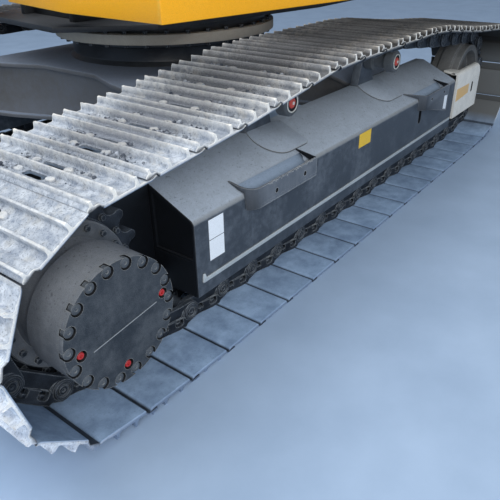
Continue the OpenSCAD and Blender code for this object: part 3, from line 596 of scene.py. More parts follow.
def skinned(bm, rows):
    """A closed skin over rows of points, each row a loop, with a face at both ends."""
    count = len(rows[0])
    for one, two in zip(rows, rows[1:]):
        for i in range(count):
            k = (i + 1) % count
            bm.faces.new((one[i], one[k], two[k], two[i]))
    bm.faces.new(rows[0])
    bm.faces.new(rows[-1])


def oblong(x0, z0, x1, z1):
    """An outline with four square corners."""
    return [(x0, z0), (x1, z0), (x1, z1), (x0, z1)]


def shaded(mesh, angle):
    """Smooth shading that stays crisp over sharper edges."""
    mesh.polygons.foreach_set("use_smooth", [True] * len(mesh.polygons))
    mesh.set_sharp_from_angle(angle=math.radians(angle))


def as_object(name, mesh):
    """A mesh linked to the scene."""
    made = bpy.data.objects.new(name, mesh)
    scene.collection.objects.link(made)
    return made


def settle(piece):
    """Applies a piece's modifiers and takes them off."""
    mesh = bpy.data.meshes.new_from_object(piece.evaluated_get(bpy.context.evaluated_depsgraph_get()))
    piece.modifiers.clear()
    piece.data = mesh


def rounded(piece, width, steps=2):
    """Rounds a piece's sharp edges by a width in millimetres."""
    soft = piece.modifiers.new("round", "BEVEL")
    soft.width, soft.segments = width * MM, steps
    soft.limit_method, soft.angle_limit = "ANGLE", math.radians(30)
    settle(piece)


def cut(piece, cutters):
    """Cuts shapes out of a piece; the cut faces take the cutter's finish."""
    for cutter in cutters:
        saw = piece.modifiers.new("cut", "BOOLEAN")
        saw.operation, saw.object, saw.solver, saw.material_mode = "DIFFERENCE", cutter, "EXACT", "TRANSFER"
    settle(piece)
    for cutter in cutters:
        bpy.data.objects.remove(cutter)


def finished(name, bm, finish, rounding=0.0, steps=2, angle=38, scale=MM, flatten=True):
    """The mesh in metres, merged, with rounded edges and its finish."""
    bmesh.ops.remove_doubles(bm, verts=bm.verts, dist=0.02 * MM / scale)
    bmesh.ops.recalc_face_normals(bm, faces=bm.faces)
    bmesh.ops.scale(bm, vec=(scale, scale, scale), verts=bm.verts)
    if rounding and flatten:
        bmesh.ops.dissolve_limit(bm, angle_limit=math.radians(0.6), verts=bm.verts, edges=bm.edges)
    mesh = bpy.data.meshes.new(name)
    bm.to_mesh(mesh)
    bm.free()
    piece = as_object(name, mesh)
    mesh.materials.clear()
    mesh.materials.append(finish)
    if rounding:
        rounded(piece, rounding, steps)
    shaded(piece.data, angle)
    return piece


def drawn(name, outline, at, near, far, finish, holes=(), **how):
    """A finished plate, straight from its outline."""
    bm = bmesh.new()
    plate(bm, outline, holes, at, near, far)
    return finished(name, bm, finish, **how)


def lathed(name, profile, count, at, finish, **how):
    """A finished turned part, straight from its profile."""
    bm = bmesh.new()
    turned(bm, profile, count, at)
    return finished(name, bm, finish, **how)


def joined(name, pieces):
    """Several pieces as one object that keeps each one's finish."""
    bpy.ops.object.select_all(action="DESELECT")
    for piece in pieces:
        piece.select_set(True)
    bpy.context.view_layer.objects.active = pieces[0]
    bpy.ops.object.join()
    pieces[0].name = pieces[0].data.name = name
    return pieces[0]


def fit(piece, body, slot, *nodes):
    """Rides a piece on its body and lets it stand for CAD nodes."""
    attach(piece, body)
    if nodes:
        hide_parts(*nodes)
    print(f"{piece.name}: {sum(len(p.vertices) - 2 for p in piece.data.polygons)} triangles")
    return piece


print("mesh helpers ready")

# %% [markdown]
# ## One tree that repeats a piece
# Shoes, links, bolts and clods all repeat. One Geometry Nodes tree puts a piece on
# each point of a mesh, turned and sized by the point's own numbers, and gives every
# copy a random tint from a fixed seed. It ends by making the copies real.

# %% Geometry Nodes: pieces on spots
spots_tree, given, result = group("Pieces on spots", [
    ("Spots", "geometry", None), ("Piece", "object", None), ("Finish", "material", None),
    ("Seed", "whole", 1)], [("Geometry", "geometry")], "GeometryNodeTree")
shape = put(spots_tree, "GeometryNodeObjectInfo", {"Object": given["Piece"]}).outputs["Geometry"]
turns, sizes = (put(spots_tree, "GeometryNodeInputNamedAttribute", {"Name": name},
                    data_type="FLOAT_VECTOR").outputs[0] for name in ("turn", "size"))
copies = put(spots_tree, "GeometryNodeInstanceOnPoints",
             {"Points": given["Spots"], "Instance": shape, "Rotation": turns, "Scale": sizes}).outputs[0]
chance = put(spots_tree, "FunctionNodeRandomValue", {"Seed": given["Seed"]}, data_type="FLOAT").outputs[1]
tinted = put(spots_tree, "GeometryNodeStoreNamedAttribute",
             {"Geometry": copies, "Name": "tint", "Value": chance},
             data_type="FLOAT", domain="INSTANCE").outputs[0]
real = put(spots_tree, "GeometryNodeRealizeInstances", {"Geometry": tinted}).outputs[0]
dressed = put(spots_tree, "GeometryNodeSetMaterial",
              {"Geometry": real, "Material": given["Finish"]}).outputs[0]
spots_tree.links.new(dressed, result["Geometry"])


def repeated(name, piece, spots, finish, seed=1, keep=False, angle=None):
    """Copies of a piece on spots, each a place in millimetres, a turn and perhaps a size.

    The piece itself goes unless it is kept, and the copies are shaded anew if an angle is given.
    """
    mesh = bpy.data.meshes.new(name)
    mesh.from_pydata([Vector(spot[0]) * MM for spot in spots], [], [])
    turns = mesh.attributes.new("turn", "FLOAT_VECTOR", "POINT")
    turns.data.foreach_set("vector", [a for spot in spots for a in spot[1]])
    sizes = mesh.attributes.new("size", "FLOAT_VECTOR", "POINT")
    sizes.data.foreach_set("vector", [a for spot in spots for a in (spot[2] if len(spot) > 2 else (1, 1, 1))])
    row = as_object(name, mesh)
    way = row.modifiers.new("repeat", "NODES")
    way.node_group = spots_tree
    names = {item.name: item.identifier for item in spots_tree.interface.items_tree if item.in_out == "INPUT"}
    for label, value in (("Piece", piece), ("Finish", finish), ("Seed", seed)):
        way[names[label]] = value
    settle(row)
    if not keep:
        bpy.data.objects.remove(piece)
    if angle:
        shaded(row.data, angle)
    return row


print("tree:", spots_tree.name)

# %% [markdown]
# ## The path of the track
# The pins of a track run round the sprocket, under the rollers, round the idler and
# back over two carrier rollers, with a slight dip between them. The path is worked
# out as in the CAD source, then cut into 45 even links.

# %% Track pins
SHOE_PITCH, PLATE, GROUSER = 190, 11, 26
PIN_TO_SEAT, PIN_TO_RAIL = 55, 42
TEETH = 19
SPROCKET, IDLER = Vector((-1684, 405)), Vector((1663, 402))
IDLER_TREAD = 236
CARRIERS, CARRIER_HEIGHT, CARRIER_RADIUS, BEND_LIFT = (-552, 444), 724, 56, 6
ROLLERS = [-1150 + i * 2330 / 6 for i in range(7)]
SAG, FLAT_PAST_ROLLERS, FIT, TRACK_SHIFT = 10, 150, 0.3, 20
SPROCKET_PITCH = SHOE_PITCH / (2 * math.sin(2 * math.pi / TEETH))
PIN_LOW = GROUSER + PLATE + PIN_TO_SEAT


def leave(centre, radius, point, turn):
    """Angle at which a straight run through the point leaves a circle."""
    way = point - centre
    return math.atan2(way.y, way.x) + turn * math.acos(radius / way.length)


def arc(centre, radius, start, end, steps=40):
    """Points along part of a circle."""
    turns = [start + (end - start) * i / steps for i in range(steps + 1)]
    return [centre + radius * Vector((math.cos(turn), math.sin(turn))) for turn in turns]


def track_pins():
    """The pins' places in x and z, the pitch, and the angle of the first pin on the sprocket."""
    idler_pitch = math.hypot(IDLER_TREAD + PIN_TO_RAIL + FIT, SHOE_PITCH / 2)
    high = CARRIER_HEIGHT + CARRIER_RADIUS + PIN_TO_RAIL + BEND_LIFT + FIT
    rear_low = Vector((ROLLERS[0] - FLAT_PAST_ROLLERS, PIN_LOW))
    front_low = Vector((ROLLERS[-1] + FLAT_PAST_ROLLERS, PIN_LOW))
    rear_high, front_high = (Vector((x, high)) for x in CARRIERS)
    rear_dip = (SPROCKET + Vector((0, SPROCKET_PITCH)) + rear_high) / 2 - Vector((0, SAG))
    front_dip = (IDLER + Vector((0, idler_pitch)) + front_high) / 2 - Vector((0, SAG))
    first = leave(SPROCKET, SPROCKET_PITCH, rear_dip, 1)
    loop = arc(SPROCKET, SPROCKET_PITCH, first, 2 * math.pi + leave(SPROCKET, SPROCKET_PITCH, rear_low, -1))
    loop += [rear_low, front_low]
    loop += arc(IDLER, idler_pitch, leave(IDLER, idler_pitch, front_low, 1),
                leave(IDLER, idler_pitch, front_dip, -1))
    loop += [front_dip, front_high, rear_high, rear_dip]
    steps = [(loop[(i + 1) % len(loop)] - p).length for i, p in enumerate(loop)]
    count = round(sum(steps) / SHOE_PITCH)
    pitch = sum(steps) / count
    found, i, gone = [], 0, 0.0
    for k in range(count):
        reach = k * pitch + TRACK_SHIFT
        while reach > gone + steps[i]:
            gone += steps[i]
            i += 1
        found.append(loop[i].lerp(loop[(i + 1) % len(loop)], (reach - gone) / steps[i]))
    return found, pitch, first + TRACK_SHIFT / SPROCKET_PITCH


pins, pitch, first_angle = track_pins()


def link_spots(side):
    """A place and a turn for every link: local x along the link, z outwards."""
    spots = []
    for i, start in enumerate(pins):
        end = pins[(i + 1) % len(pins)]
        way, middle = (end - start).normalized(), (start + end) / 2
        frame_of_link = Matrix(((way.x, 0, way.y), (0, -1, 0), (way.y, 0, -way.x)))
        spots.append(((middle.x, side * GAUGE / 2, middle.y), tuple(frame_of_link.to_euler())))
    return spots


print(len(pins), "links of", round(pitch, 2), "mm")

# %% [markdown]
# ## A track shoe
# Each shoe is a rolled plate with three grousers. Its front lip curls up and tucks
# under the arched rear edge of the next one, which keeps stones out. Two slots let
# mud through, with a bolt head at both ends of each. The plate is one profile drawn
# out across the track, with the slots left open between its stations. Noise chips the
# grousers' ends, and a seed gives each of three variants its own chips.

# %% Shoe
SHOE_HALF = 300
SLOTS = ((35.0, 13.0), (-25.0, 14.0))
SLOT_FLAT, SLOT_END, BOLT_ACROSS = 36, 50, 72
SEAT_OUT, PLATE_OUT, TIP_OUT = 55.2, 66, 92
STATIONS = [0, 36, 44, 50, 62, 95, 140, 190, 235, 262, 276, 285, 292, 297, 300]
CHIPPED_FROM, RUBBED_FROM, TIP_FROM = 268, 264, 78
VARIANTS = (1, 2, 3)


def grouser(x, foot=PLATE_OUT):
    """One grouser's outline, from its leading foot to its trailing foot."""
    half = [(10, foot), (7, foot + 2), (5.2, (foot + 82) / 2), (4.4, 89.5), (3, TIP_OUT)]
    return [(x + wide, out) for wide, out in half] + [(x - wide, out) for wide, out in reversed(half)]


OUTER_LINE = [(98.5, 69.5), (97, 72.5)] + grouser(84, 75) + [(66, 76), (60, 74.5), (54, 70)]
OUTER_LINE += [(48, PLATE_OUT), (22, PLATE_OUT)] + grouser(11) + [(-11, PLATE_OUT), (-39, PLATE_OUT)]
OUTER_LINE += grouser(-61) + [(-84, 65.2), (-94, 62.6), (-104, 61.2), (-114, 61.4), (-122, 63.6),
                              (-128, 66.4)]
INNER_LINE = [(-129.6, 64.4), (-128.4, 61.6), (-122, 58.0), (-115, 55.6), (-108, SEAT_OUT), (-39, SEAT_OUT),
              (-11, SEAT_OUT), (22, SEAT_OUT), (48, SEAT_OUT), (52, 57), (56, 64), (60, 68.8), (68, 68.8),
              (76, 67), (86, 65.4), (96, 65.6)]


def slot_share(across):
    """How far a slot is open at a station."""
    if across <= SLOT_FLAT:
        return 1.0
    if across < SLOT_END:
        return math.sqrt(1 - ((across - SLOT_FLAT) / (SLOT_END - SLOT_FLAT)) ** 2)
    return 0.12 if across == SLOT_END else 1.0


def is_slot_edge(along, middle, half):
    """Whether a point of the outline lies on a slot's edge."""
    return abs(abs(along - middle) - half) < 0.01


def shoe_plate(seed):
    """A shoe's plate drawn out across the track, with open slots."""
    bm = bmesh.new()
    worn, outer, seam = (bm.verts.layers.float.new(name) for name in ("worn", "outer", "seam"))
    line = OUTER_LINE + INNER_LINE
    across = [-s for s in reversed(STATIONS[1:])] + STATIONS
    grid = []
    for u in across:
        row = []
        end = max(0.0, (abs(u) - CHIPPED_FROM) / (SHOE_HALF - CHIPPED_FROM))
        rim = max(0.0, (abs(u) - RUBBED_FROM) / (SHOE_HALF - RUBBED_FROM))
        for n, (along, out) in enumerate(line):
            is_outer = n < len(OUTER_LINE)
            for middle, half in SLOTS:
                if is_slot_edge(along, middle, half):
                    along = middle + math.copysign(half * slot_share(abs(u)), along - middle)
            tip = max(0.0, (out - TIP_FROM) / (TIP_OUT - TIP_FROM)) if is_outer else 0.0
            ripple = noise.noise(Vector((u * 0.06, along * 0.03, seed * 5.1)))
            chip = noise.noise(Vector((u * 0.16, along * 0.4, seed * 9.7)))
            drop = tip * (1.0 + ripple + end * max(0.0, 1.0 + 7 * chip))
            thin = 4.5 if abs(u) == SHOE_HALF and not is_outer and out < 60 else 0.0
            pull = (2 + 5 * chip) * tip * (end > 0.85)
            vert = bm.verts.new((along, u - math.copysign(max(0.0, pull), u), out + thin - max(0.0, drop)))
            tongue = 1.0 if along < -119 else 0.0
            vert[worn] = max(tip * (0.34 + 0.66 * rim), 0.45 * tongue,
                             (1.0 if is_outer else 0.2) * (end == 1.0))
            vert[outer] = float(is_outer or abs(u) == SHOE_HALF)
            # seam marks the lips' inner faces, where the finish paints shade in the groove between shoes.
            vert[seam] = 1.0 if not is_outer and (52 <= along <= 96 or along < -127) else 0.0
            row.append(vert)
        grid.append(row)
    count = len(line)
    gaps = [i for i in range(count) for middle, half in SLOTS
            if line[i][1] in (PLATE_OUT, SEAT_OUT) and is_slot_edge(line[i][0], middle, half)
            and is_slot_edge(line[(i + 1) % count][0], middle, half)]
    for s, u in enumerate(across[:-1]):
        slotted = abs(u + across[s + 1]) / 2 < SLOT_END
        for p in range(count):
            if not (slotted and p in gaps):
                q = (p + 1) % count
                bm.faces.new((grid[s][p], grid[s][q], grid[s + 1][q], grid[s + 1][p]))
    for row in (grid[0], grid[-1]):
        rim_edges = [bm.edges.get((row[i], row[(i + 1) % count])) for i in range(count)]
        bmesh.ops.triangle_fill(bm, use_beauty=True, edges=rim_edges)
    inside = [s for s, u in enumerate(across) if abs(u) <= SLOT_END]
    for middle, half in SLOTS:
        top_rear, low_front = line.index((middle + half, PLATE_OUT)), line.index((middle - half, SEAT_OUT))
        top_front, low_rear = top_rear + 1, low_front + 1
        for s, t in zip(inside, inside[1:]):
            for up, down in ((top_rear, low_rear), (top_front, low_front)):
                bm.faces.new((grid[s][up], grid[t][up], grid[t][down], grid[s][down]))
        for s in (inside[0], inside[-1]):
            bm.faces.new((grid[s][top_rear], grid[s][top_front], grid[s][low_front], grid[s][low_rear]))
    return bm


HEAD_PROFILE = [(0, 75), (9, 75), (13, 73.5), (15, 69), (15.5, 66.8), (20, 66.6), (23, 65)]
HEAD_LONG, HEAD_WIDE = 0.82, 1.2


def shoe_mesh(seed):
    """One shoe with its bolt heads, lying along x with its grousers up."""
    bm = shoe_plate(seed)
    for middle, _ in SLOTS:
        for u in (-BOLT_ACROSS, BOLT_ACROSS):
            head = bmesh.new()
            turned(head, HEAD_PROFILE, 12,
                   lambda a, b, d: Vector((middle + a * HEAD_LONG, u + b * HEAD_WIDE, d)))
            worn, outer = (head.verts.layers.float.new(name) for name in ("worn", "outer"))
            for v in head.verts:
                v[worn], v[outer] = (0.4 if v.co.z > 72 else 0.0), 1.0
            made = bpy.data.meshes.new("head")
            head.to_mesh(made)
            head.free()
            bm.from_mesh(made)
    return finished("shoe", bm, shoe_steel, angle=32)


shoes = [shoe_mesh(seed) for seed in VARIANTS]
print("shoe:", len(shoes[0].data.polygons), "faces, in", len(VARIANTS), "variants")

# %% [markdown]
# ## Clods and the finished tracks
# Mud dries in clods between the grousers of the upper run and lies in heaps there. A
# clod is a lumpy ball of few faces. A place is drawn at random, and kept only where a
# slow noise says that there is a heap. The shoes and clods of a side are one piece.

# %% Clods and shoes on their spots
CLODS, RUN, HEAP_MIDDLE, HEAP_REACH = 3000, (-1750, 250), -900, 1300
TROUGHS = ((-48, -3), (22, 50), (-98, -72))
CLOD_SPREAD, CLOD_EDGE, OVER_SLOT, FULL_TURN = 105, 270, 56, 6.28


def crumb_mesh():
    """A low clod of dry mud, one millimetre in radius."""
    bm = bmesh.new()
    bmesh.ops.create_icosphere(bm, subdivisions=1, radius=1.0)
    for v in bm.verts:
        v.co *= 1 + 0.35 * noise.noise(v.co * 1.7)
    return finished("crumb", bm, crumb_dust, angle=80)


def crumb_spots(side):
    """Places for clods between the grousers of the upper run, in heaps and thickest in its middle."""
    chance = random.Random(11 + side)
    links = [spot for spot in link_spots(side) if spot[0][2] > 700 and RUN[0] < spot[0][0] < RUN[1]]
    spots = []
    while len(spots) < CLODS:
        middle, turn = chance.choice(links)
        if chance.random() > 1 - abs(middle[0] - HEAP_MIDDLE) / HEAP_REACH:
            continue
        along = chance.choice([chance.uniform(*trough) for trough in TROUGHS])
        u = chance.gauss(0, CLOD_SPREAD)
        heap = noise.noise(Vector((middle[0] * 0.006 + along * 0.006, u * 0.012, 3.3 + side)))
        if heap + chance.uniform(-0.15, 0.15) < 0.0:
            continue
        if abs(u) > CLOD_EDGE or (abs(u) < OVER_SLOT and along > -50):
            continue
        size = 2.6 + 7.5 * chance.random() ** 3
        place = Vector(middle) + Euler(turn).to_matrix() @ Vector((along, u, PLATE_OUT + 0.25 * size))
        turns = [chance.uniform(0, FULL_TURN) for _ in range(3)]
        spots.append((place, turns, (size, size * chance.uniform(0.7, 1.2), size * 0.8)))
    return spots


crumb = crumb_mesh()
for name, side in SIDES.items():
    spots = link_spots(side)
    rows = [repeated("row", shoe, spots[i::len(shoes)], shoe_steel, seed=3 + side + i, keep=side < 0,
                     angle=32) for i, shoe in enumerate(shoes)]
    rows.append(repeated("clods", crumb, crumb_spots(side), crumb_dust, seed=5 + side, keep=side < 0))
    fit(joined(f"shoes_{name}", rows), LOWER, "shoe_steel", f"track_shoes_{name}")

# %% [markdown]
# ## The chain
# A link is a bone-shaped forging with two windows for the shoe bolts. Its rear end
# runs outside the front end of the next one, and the pin's ring closes the joint.
# Both plates, the bushing and the pin of one pitch are one piece, repeated along the
# same spots as the shoes.

# %% Links
LINK_HALF = SHOE_PITCH / 2 + 0.1


def link_outline():
    """Side view of a link plate."""
    line = [(-LINK_HALF, -PIN_TO_RAIL), (-50, -PIN_TO_RAIL), (50, -PIN_TO_RAIL), (LINK_HALF, -PIN_TO_RAIL)]
    line += ring(42, 8, math.radians(-62), LINK_HALF, 0, math.radians(125))
    line += [(76, 45), (70, 54.6), (30, 54.6), (-30, 54.6), (-70, 54.6), (-76, 45)]
    line += ring(42, 8, math.radians(117), -LINK_HALF, 0, math.radians(125))
    return line


def window(middle, half):
    """A rounded window under the shoe's seat."""
    rear, front = middle - half, middle + half
    return [(rear, 16), (rear + 6, 9), (front - 6, 9), (front, 16),
            (front, 32), (front - 6, 39), (rear + 6, 39), (rear, 32)]


PIN_END = [(0, 93), (5, 93), (7, 95), (15, 95.5), (17, 93), (17.5, 89), (21, 89), (22, 95), (24, 97),
           (30, 97.5), (33.5, 95), (35, 90), (40, 89), (41.5, 86), (41.5, 78), (0, 78)]
NUT = [(0, 22), (13, 22), (15, 24), (15, 38), (0, 38)]
WINDOWS = ((-31, 17), (36, 17))


def link_mesh():
    """Both plates of a link with bushing, pin and rings."""
    bm, rings = bmesh.new(), bmesh.new()

    def bent(side):
        def at(a, b, depth):
            sway = min(1.0, max(0.0, (a + 42) / 84))
            return Vector((a, side * (62 + 20 * sway + depth), b))
        return at

    for side in (-1, 1):
        plate(bm, link_outline(), [window(*opening) for opening in WINDOWS], bent(side), -9.5, 9.5)
        turned(rings, PIN_END, 18, lambda a, b, d: Vector((LINK_HALF + a, side * d, b)))
        for middle, _ in WINDOWS:
            turned(bm, NUT, 6, lambda a, b, d: Vector((middle + a, side * 72 + b, d)))
    turned(rings, [(0, -54), (30, -54), (30, 54), (0, 54)], 14, lambda a, b, d: Vector((LINK_HALF + a, d, b)))
    plates = finished("plates", bm, iron, rounding=3.0, steps=1)
    return joined("link", [plates, finished("rings", rings, iron, angle=35)])


link = link_mesh()
print("link:", len(link.data.polygons), "faces")
for name, side in SIDES.items():
    row = repeated(f"chain_{name}", link, link_spots(side), iron, seed=9 + side, keep=side < 0, angle=38)
    fit(row, LOWER, "running_gear_iron", f"track_chain_{name}")

# %% [markdown]
# ## The final drive
# The drum that shows behind the chain holds the planetary gears. Its cover has a
# round pocket for each bolt, open towards the rim, so every bolt head shows as a
# disc inside a dark C, whose walls and floor are painted black as shade. Three plugs
# for the gear oil sit in round holes that open into a pocket, and a thin pale line
# is scribed across the casting. The cover is one drawn outline with its pockets, cut
# by the holes before its edges are rounded. Bolts stand on rings of spots, so the
# tree that repeats shoes repeats them too.

# %% Final drives
DRUM, DRUM_BACK, DRUM_FACE, COVER_DEEP = 192, 137, 291, 22
COVER_BOLTS, BOLT_RING, POCKET, HEAD, BOLT_TURN = 18, 175, 19, 15, math.radians(17.5)
PLUGS = ((143.7, math.radians(-172.4)), (142.7, math.radians(-90.7)), (153, math.radians(6.1)))
PLUG_RECESS = 16.5
SCRIBED, SCRIBED_HALF = ((-105, -30), (125, 0)), 0.8
FLANGE_BOLTS, FLANGE_CIRCLE = 20, 205
HEAD_SHAPE = [(0, -4.5), (4, -4.5), (5, -2.5), (HEAD - 2.5, -2.5), (HEAD, -4.5), (HEAD, -20), (0, -20)]
PLUG_SHAPE = [(0, -6), (4.5, -6), (5, -2), (9, -2), (11, -4.5), (11, -20), (0, -20)]
FLANGE_BOLT = [(0, 74), (9, 74), (11, 72), (11, 61), (0, 61)]
BODY_SHAPE = [(0, 40.3), (227, 40.3), (227, 58), (223, 62), (178, 62), (176, 66), (176, 132),
              (180, DRUM_BACK), (188, DRUM_BACK), (DRUM, DRUM_BACK + 4), (DRUM, DRUM_FACE - 19.5),
              (0, DRUM_FACE - 19.5)]


def polar(radius, angle):
    """A point at a radius and an angle."""
    return radius * math.cos(angle), radius * math.sin(angle)


def cover_outline():
    """The cover's rim, drawn round each bolt's pocket."""
    open_half = math.acos((DRUM ** 2 - BOLT_RING ** 2 - POCKET ** 2) / (2 * BOLT_RING * POCKET))
    line, step = [], 2 * math.pi / COVER_BOLTS
    for i in range(COVER_BOLTS):
        turn = BOLT_TURN + i * step
        x, z = polar(BOLT_RING, turn)
        line += ring(POCKET, 14, turn - open_half, x, z, -(2 * math.pi - 2 * open_half))
        line += [polar(DRUM, turn + step * share) for share in (0.36, 0.5, 0.64)]
    return line


def outwards(side):
    """Places a point round a bolt's own axis, which points outwards."""
    return lambda a, b, depth: Vector((a, side * depth, b))


def circle_spots(side, radius, count, turn):
    """Spots on a circle round the sprocket's axle."""
    places = [polar(radius, turn + i * 2 * math.pi / count) for i in range(count)]
    return [((SPROCKET.x + x, side * GAUGE / 2, SPROCKET.y + z), (0, 0, 0)) for x, z in places]


def on_face(profile):
    """A profile whose depths count from the drum's face."""
    return [(radius, DRUM_FACE + depth) for radius, depth in profile]


def drum_cover(at):
    """The casting with its pockets and plug holes, and the black bottom of each, painted shade."""
    floor = DRUM_FACE - COVER_DEEP
    cover = drawn("cover", cover_outline(), at, floor, DRUM_FACE, drum_paint)
    holes = [drawn("hole", ring(PLUG_RECESS, 20, 0, *polar(*plug)), at, floor - 5, DRUM_FACE + 9, drum_paint)
             for plug in PLUGS]
    cut(cover, holes)
    rounded(cover, 1.4)
    shaded(cover.data, 20)
    for finish in (black_rubber_and_shade, drum_side_dust_and_bounce_light):
        cover.data.materials.append(finish)
    last = len(cover.data.materials) - 1
    # Walls of pockets and holes take the black as painted shade; the rim takes the drum side finish.
    for face in cover.data.polygons:
        x, z = face.center.x / MM - SPROCKET.x, face.center.z / MM - SPROCKET.y
        if abs(face.normal.y) < 0.5:
            face.material_index = last - 1 if math.hypot(x, z) < DRUM - 1.5 else last
    bottom = oblong(120, floor - 2, DRUM - 0.6, floor + 4.5)
    return [cover, lathed("pocket_floor", bottom, 96, at, black_rubber_and_shade)]


def scribed_line(at):
    """A thin raised line across the cover."""
    (x0, z0), (x1, z1) = SCRIBED
    way = Vector((x1 - x0, z1 - z0)).normalized()
    off = Vector((-way.y, way.x)) * SCRIBED_HALF
    line = [(x0 + off.x, z0 + off.y), (x0 - off.x, z0 - off.y),
            (x1 - off.x, z1 - off.y), (x1 + off.x, z1 + off.y)]
    return drawn("line", line, at, DRUM_FACE - 1, DRUM_FACE + 0.6, scribed)


for name, side in SIDES.items():
    at = on_side(side, *SPROCKET)
    parts = drum_cover(at) + [lathed("drum", BODY_SHAPE, 96, at, drum_side_dust_and_bounce_light, angle=30), scribed_line(at)]
    head = lathed("head", on_face(HEAD_SHAPE), 20, outwards(side), bolt_dusty)
    spots = circle_spots(side, BOLT_RING, COVER_BOLTS, BOLT_TURN)
    parts.append(repeated("heads", head, spots, bolt_dusty, angle=40))
    for radius, turn in PLUGS:
        x, z = polar(radius, turn)
        around = on_side(side, SPROCKET.x + x, SPROCKET.y + z)
        parts.append(lathed("plug", on_face(PLUG_SHAPE), 16, around, plug_red, angle=40))
    bolt = lathed("flange_bolt", FLANGE_BOLT, 6, outwards(side), iron)
    spots = circle_spots(side, FLANGE_CIRCLE, FLANGE_BOLTS, math.pi / FLANGE_BOLTS)
    parts.append(repeated("flange_bolts", bolt, spots, iron, angle=30))
    fit(joined(f"final_drive_{name}_dressed", parts), LOWER, "drum_paint", f"final_drive_{name}")

# %% [markdown]
# ## The sprocket
# Nineteen teeth for a chain whose pins fall in every other gap, so each tooth wears
# evenly. Between two teeth lies a round seat for the bushing. The outline is drawn
# gap by gap from the same pin angle as the chain, so pins and seats meet.

# %% Sprockets
SEAT, TIP, CREST = 31, 13, 0.10
TOOTH_POINTS = ((0.5 - CREST, 0.8), (0.5 - CREST / 2, 1.0), (0.5 + CREST / 2, 1.0), (0.5 + CREST, 0.8))
RIM_BOLTS, RIM_CIRCLE, RIM_HOLE, RIM_HALF, HEAD_HIGH = 20, 247, 160, 28, 12


def sprocket_outline():
    """Round seats at the pitch circle with blunt teeth between them."""
    line, step = [], 2 * math.pi / TEETH
    for i in range(TEETH):
        turn = first_angle + i * step
        x, z = polar(SPROCKET_PITCH, turn)
        line += ring(SEAT, 8, turn - math.radians(88), x, z, math.radians(-184))
        line += [polar(SPROCKET_PITCH + TIP * rise, turn + step * share) for share, rise in TOOTH_POINTS]
    return line


for name, side in SIDES.items():
    at = on_side(side, *SPROCKET)
    bm = bmesh.new()
    plate(bm, sprocket_outline(), [ring(RIM_HOLE, 64)], at, -RIM_HALF, RIM_HALF)
    turned(bm, [(RIM_HOLE, 26), (228, 26), (232, 30), (232, 40), (RIM_HOLE, 40)], 72, at)
    parts = [finished("rim", bm, iron, rounding=3, steps=2)]
    bm = bmesh.new()
    for low in (RIM_HALF, -RIM_HALF - HEAD_HIGH):
        high = low + HEAD_HIGH
        turned(bm, [(0, high), (9, high), (10.5, high - 2), (10.5, low - 1), (0, low - 1)], 6, outwards(side))
    spots = circle_spots(side, RIM_CIRCLE, RIM_BOLTS, math.pi / RIM_BOLTS)
    parts.append(repeated("rim_bolts", finished("rim_bolt", bm, iron), spots, iron, angle=30))
    fit(joined(f"sprocket_{name}_dressed", parts), LOWER, "running_gear_iron", f"sprocket_{name}")

# %% [markdown]
# ## The track frame
# A long welded box whose outer face bends into a sloping top plate, so that mud
# slides off. A thin bar is welded along the lower part of the face, and a round-nosed
# doubler plate lies on the slope under each carrier roller. The rear end is nearly
# flat, closed below the box by a thin plate; both are near-black, painted shade, and
# so are the walls of the slot in the face. Three blank labels mark where the real
# frame carries stickers.

# %% Track frames
FRAME_REAR, FRAME_FRONT, FRAME_HALF, FACE_TOP, FACE_LOW, BOX_LOW = -1240, 1270, 150, 491, 178, 322
SLOPE, BEND, SKIRT, RIDGE, RIDGE_BACK = 0.43, 24, 12, -80, -136
RIDGE_TOP = FACE_TOP + SLOPE * (FRAME_HALF - RIDGE)
BAR_LOW, BAR_HIGH, BAR_OUT, END_DEEP = 232, 248, 4, 8
TRACK_SLOT = (712, 386, 19, 50)
BAR = [(FRAME_REAR + 31, BAR_HIGH + 19), (FRAME_REAR + 28, BAR_LOW + 4), (FRAME_REAR + 34, BAR_LOW),
       (FRAME_FRONT - 20, BAR_LOW), (FRAME_FRONT - 20, BAR_HIGH), (FRAME_REAR + 48, BAR_HIGH),
       (FRAME_REAR + 41, BAR_HIGH + 19)]


def slope_height(out):
    """Height of the sloping top plate at a distance outwards."""
    return FACE_TOP + SLOPE * (FRAME_HALF - out)


def frame_section():
    """Cross-section of the frame: outwards, up."""
    turn = math.radians(66.7)
    line = [(FRAME_HALF, FACE_LOW), (FRAME_HALF, FACE_TOP - BEND)]
    line += ring(BEND, 8, 0, FRAME_HALF - BEND, FACE_TOP - BEND, turn)[1:]
    line += [(RIDGE, RIDGE_TOP), (RIDGE_BACK, RIDGE_TOP), (-FRAME_HALF, RIDGE_TOP - 14),
             (-FRAME_HALF, FACE_LOW + 40), (SKIRT - FRAME_HALF, FACE_LOW + 40), (SKIRT - FRAME_HALF, BOX_LOW),
             (FRAME_HALF - SKIRT, BOX_LOW), (FRAME_HALF - SKIRT, FACE_LOW)]
    return line


def end_recess():
    """Cross-section of the recess in the frame's rear end."""
    inner, outer, roof = -40, FRAME_HALF - SKIRT, 2 * SKIRT
    return [(inner, BOX_LOW + SKIRT), (outer, BOX_LOW + SKIRT), (outer, FACE_TOP - BEND),
            (outer - SKIRT, slope_height(outer - SKIRT) - roof), (inner, slope_height(inner) - roof)]


def lengthwise(side):
    """Places a cross-section point (out, up) at a distance along x."""
    return lambda out, up, x: Vector((x, side * (GAUGE / 2 + out), up))


def on_slope(side):
    """Places a point (along x, outwards) at a height over the sloping top plate."""
    return lambda a, b, depth: Vector((a, side * (GAUGE / 2 + b), slope_height(b) + depth))


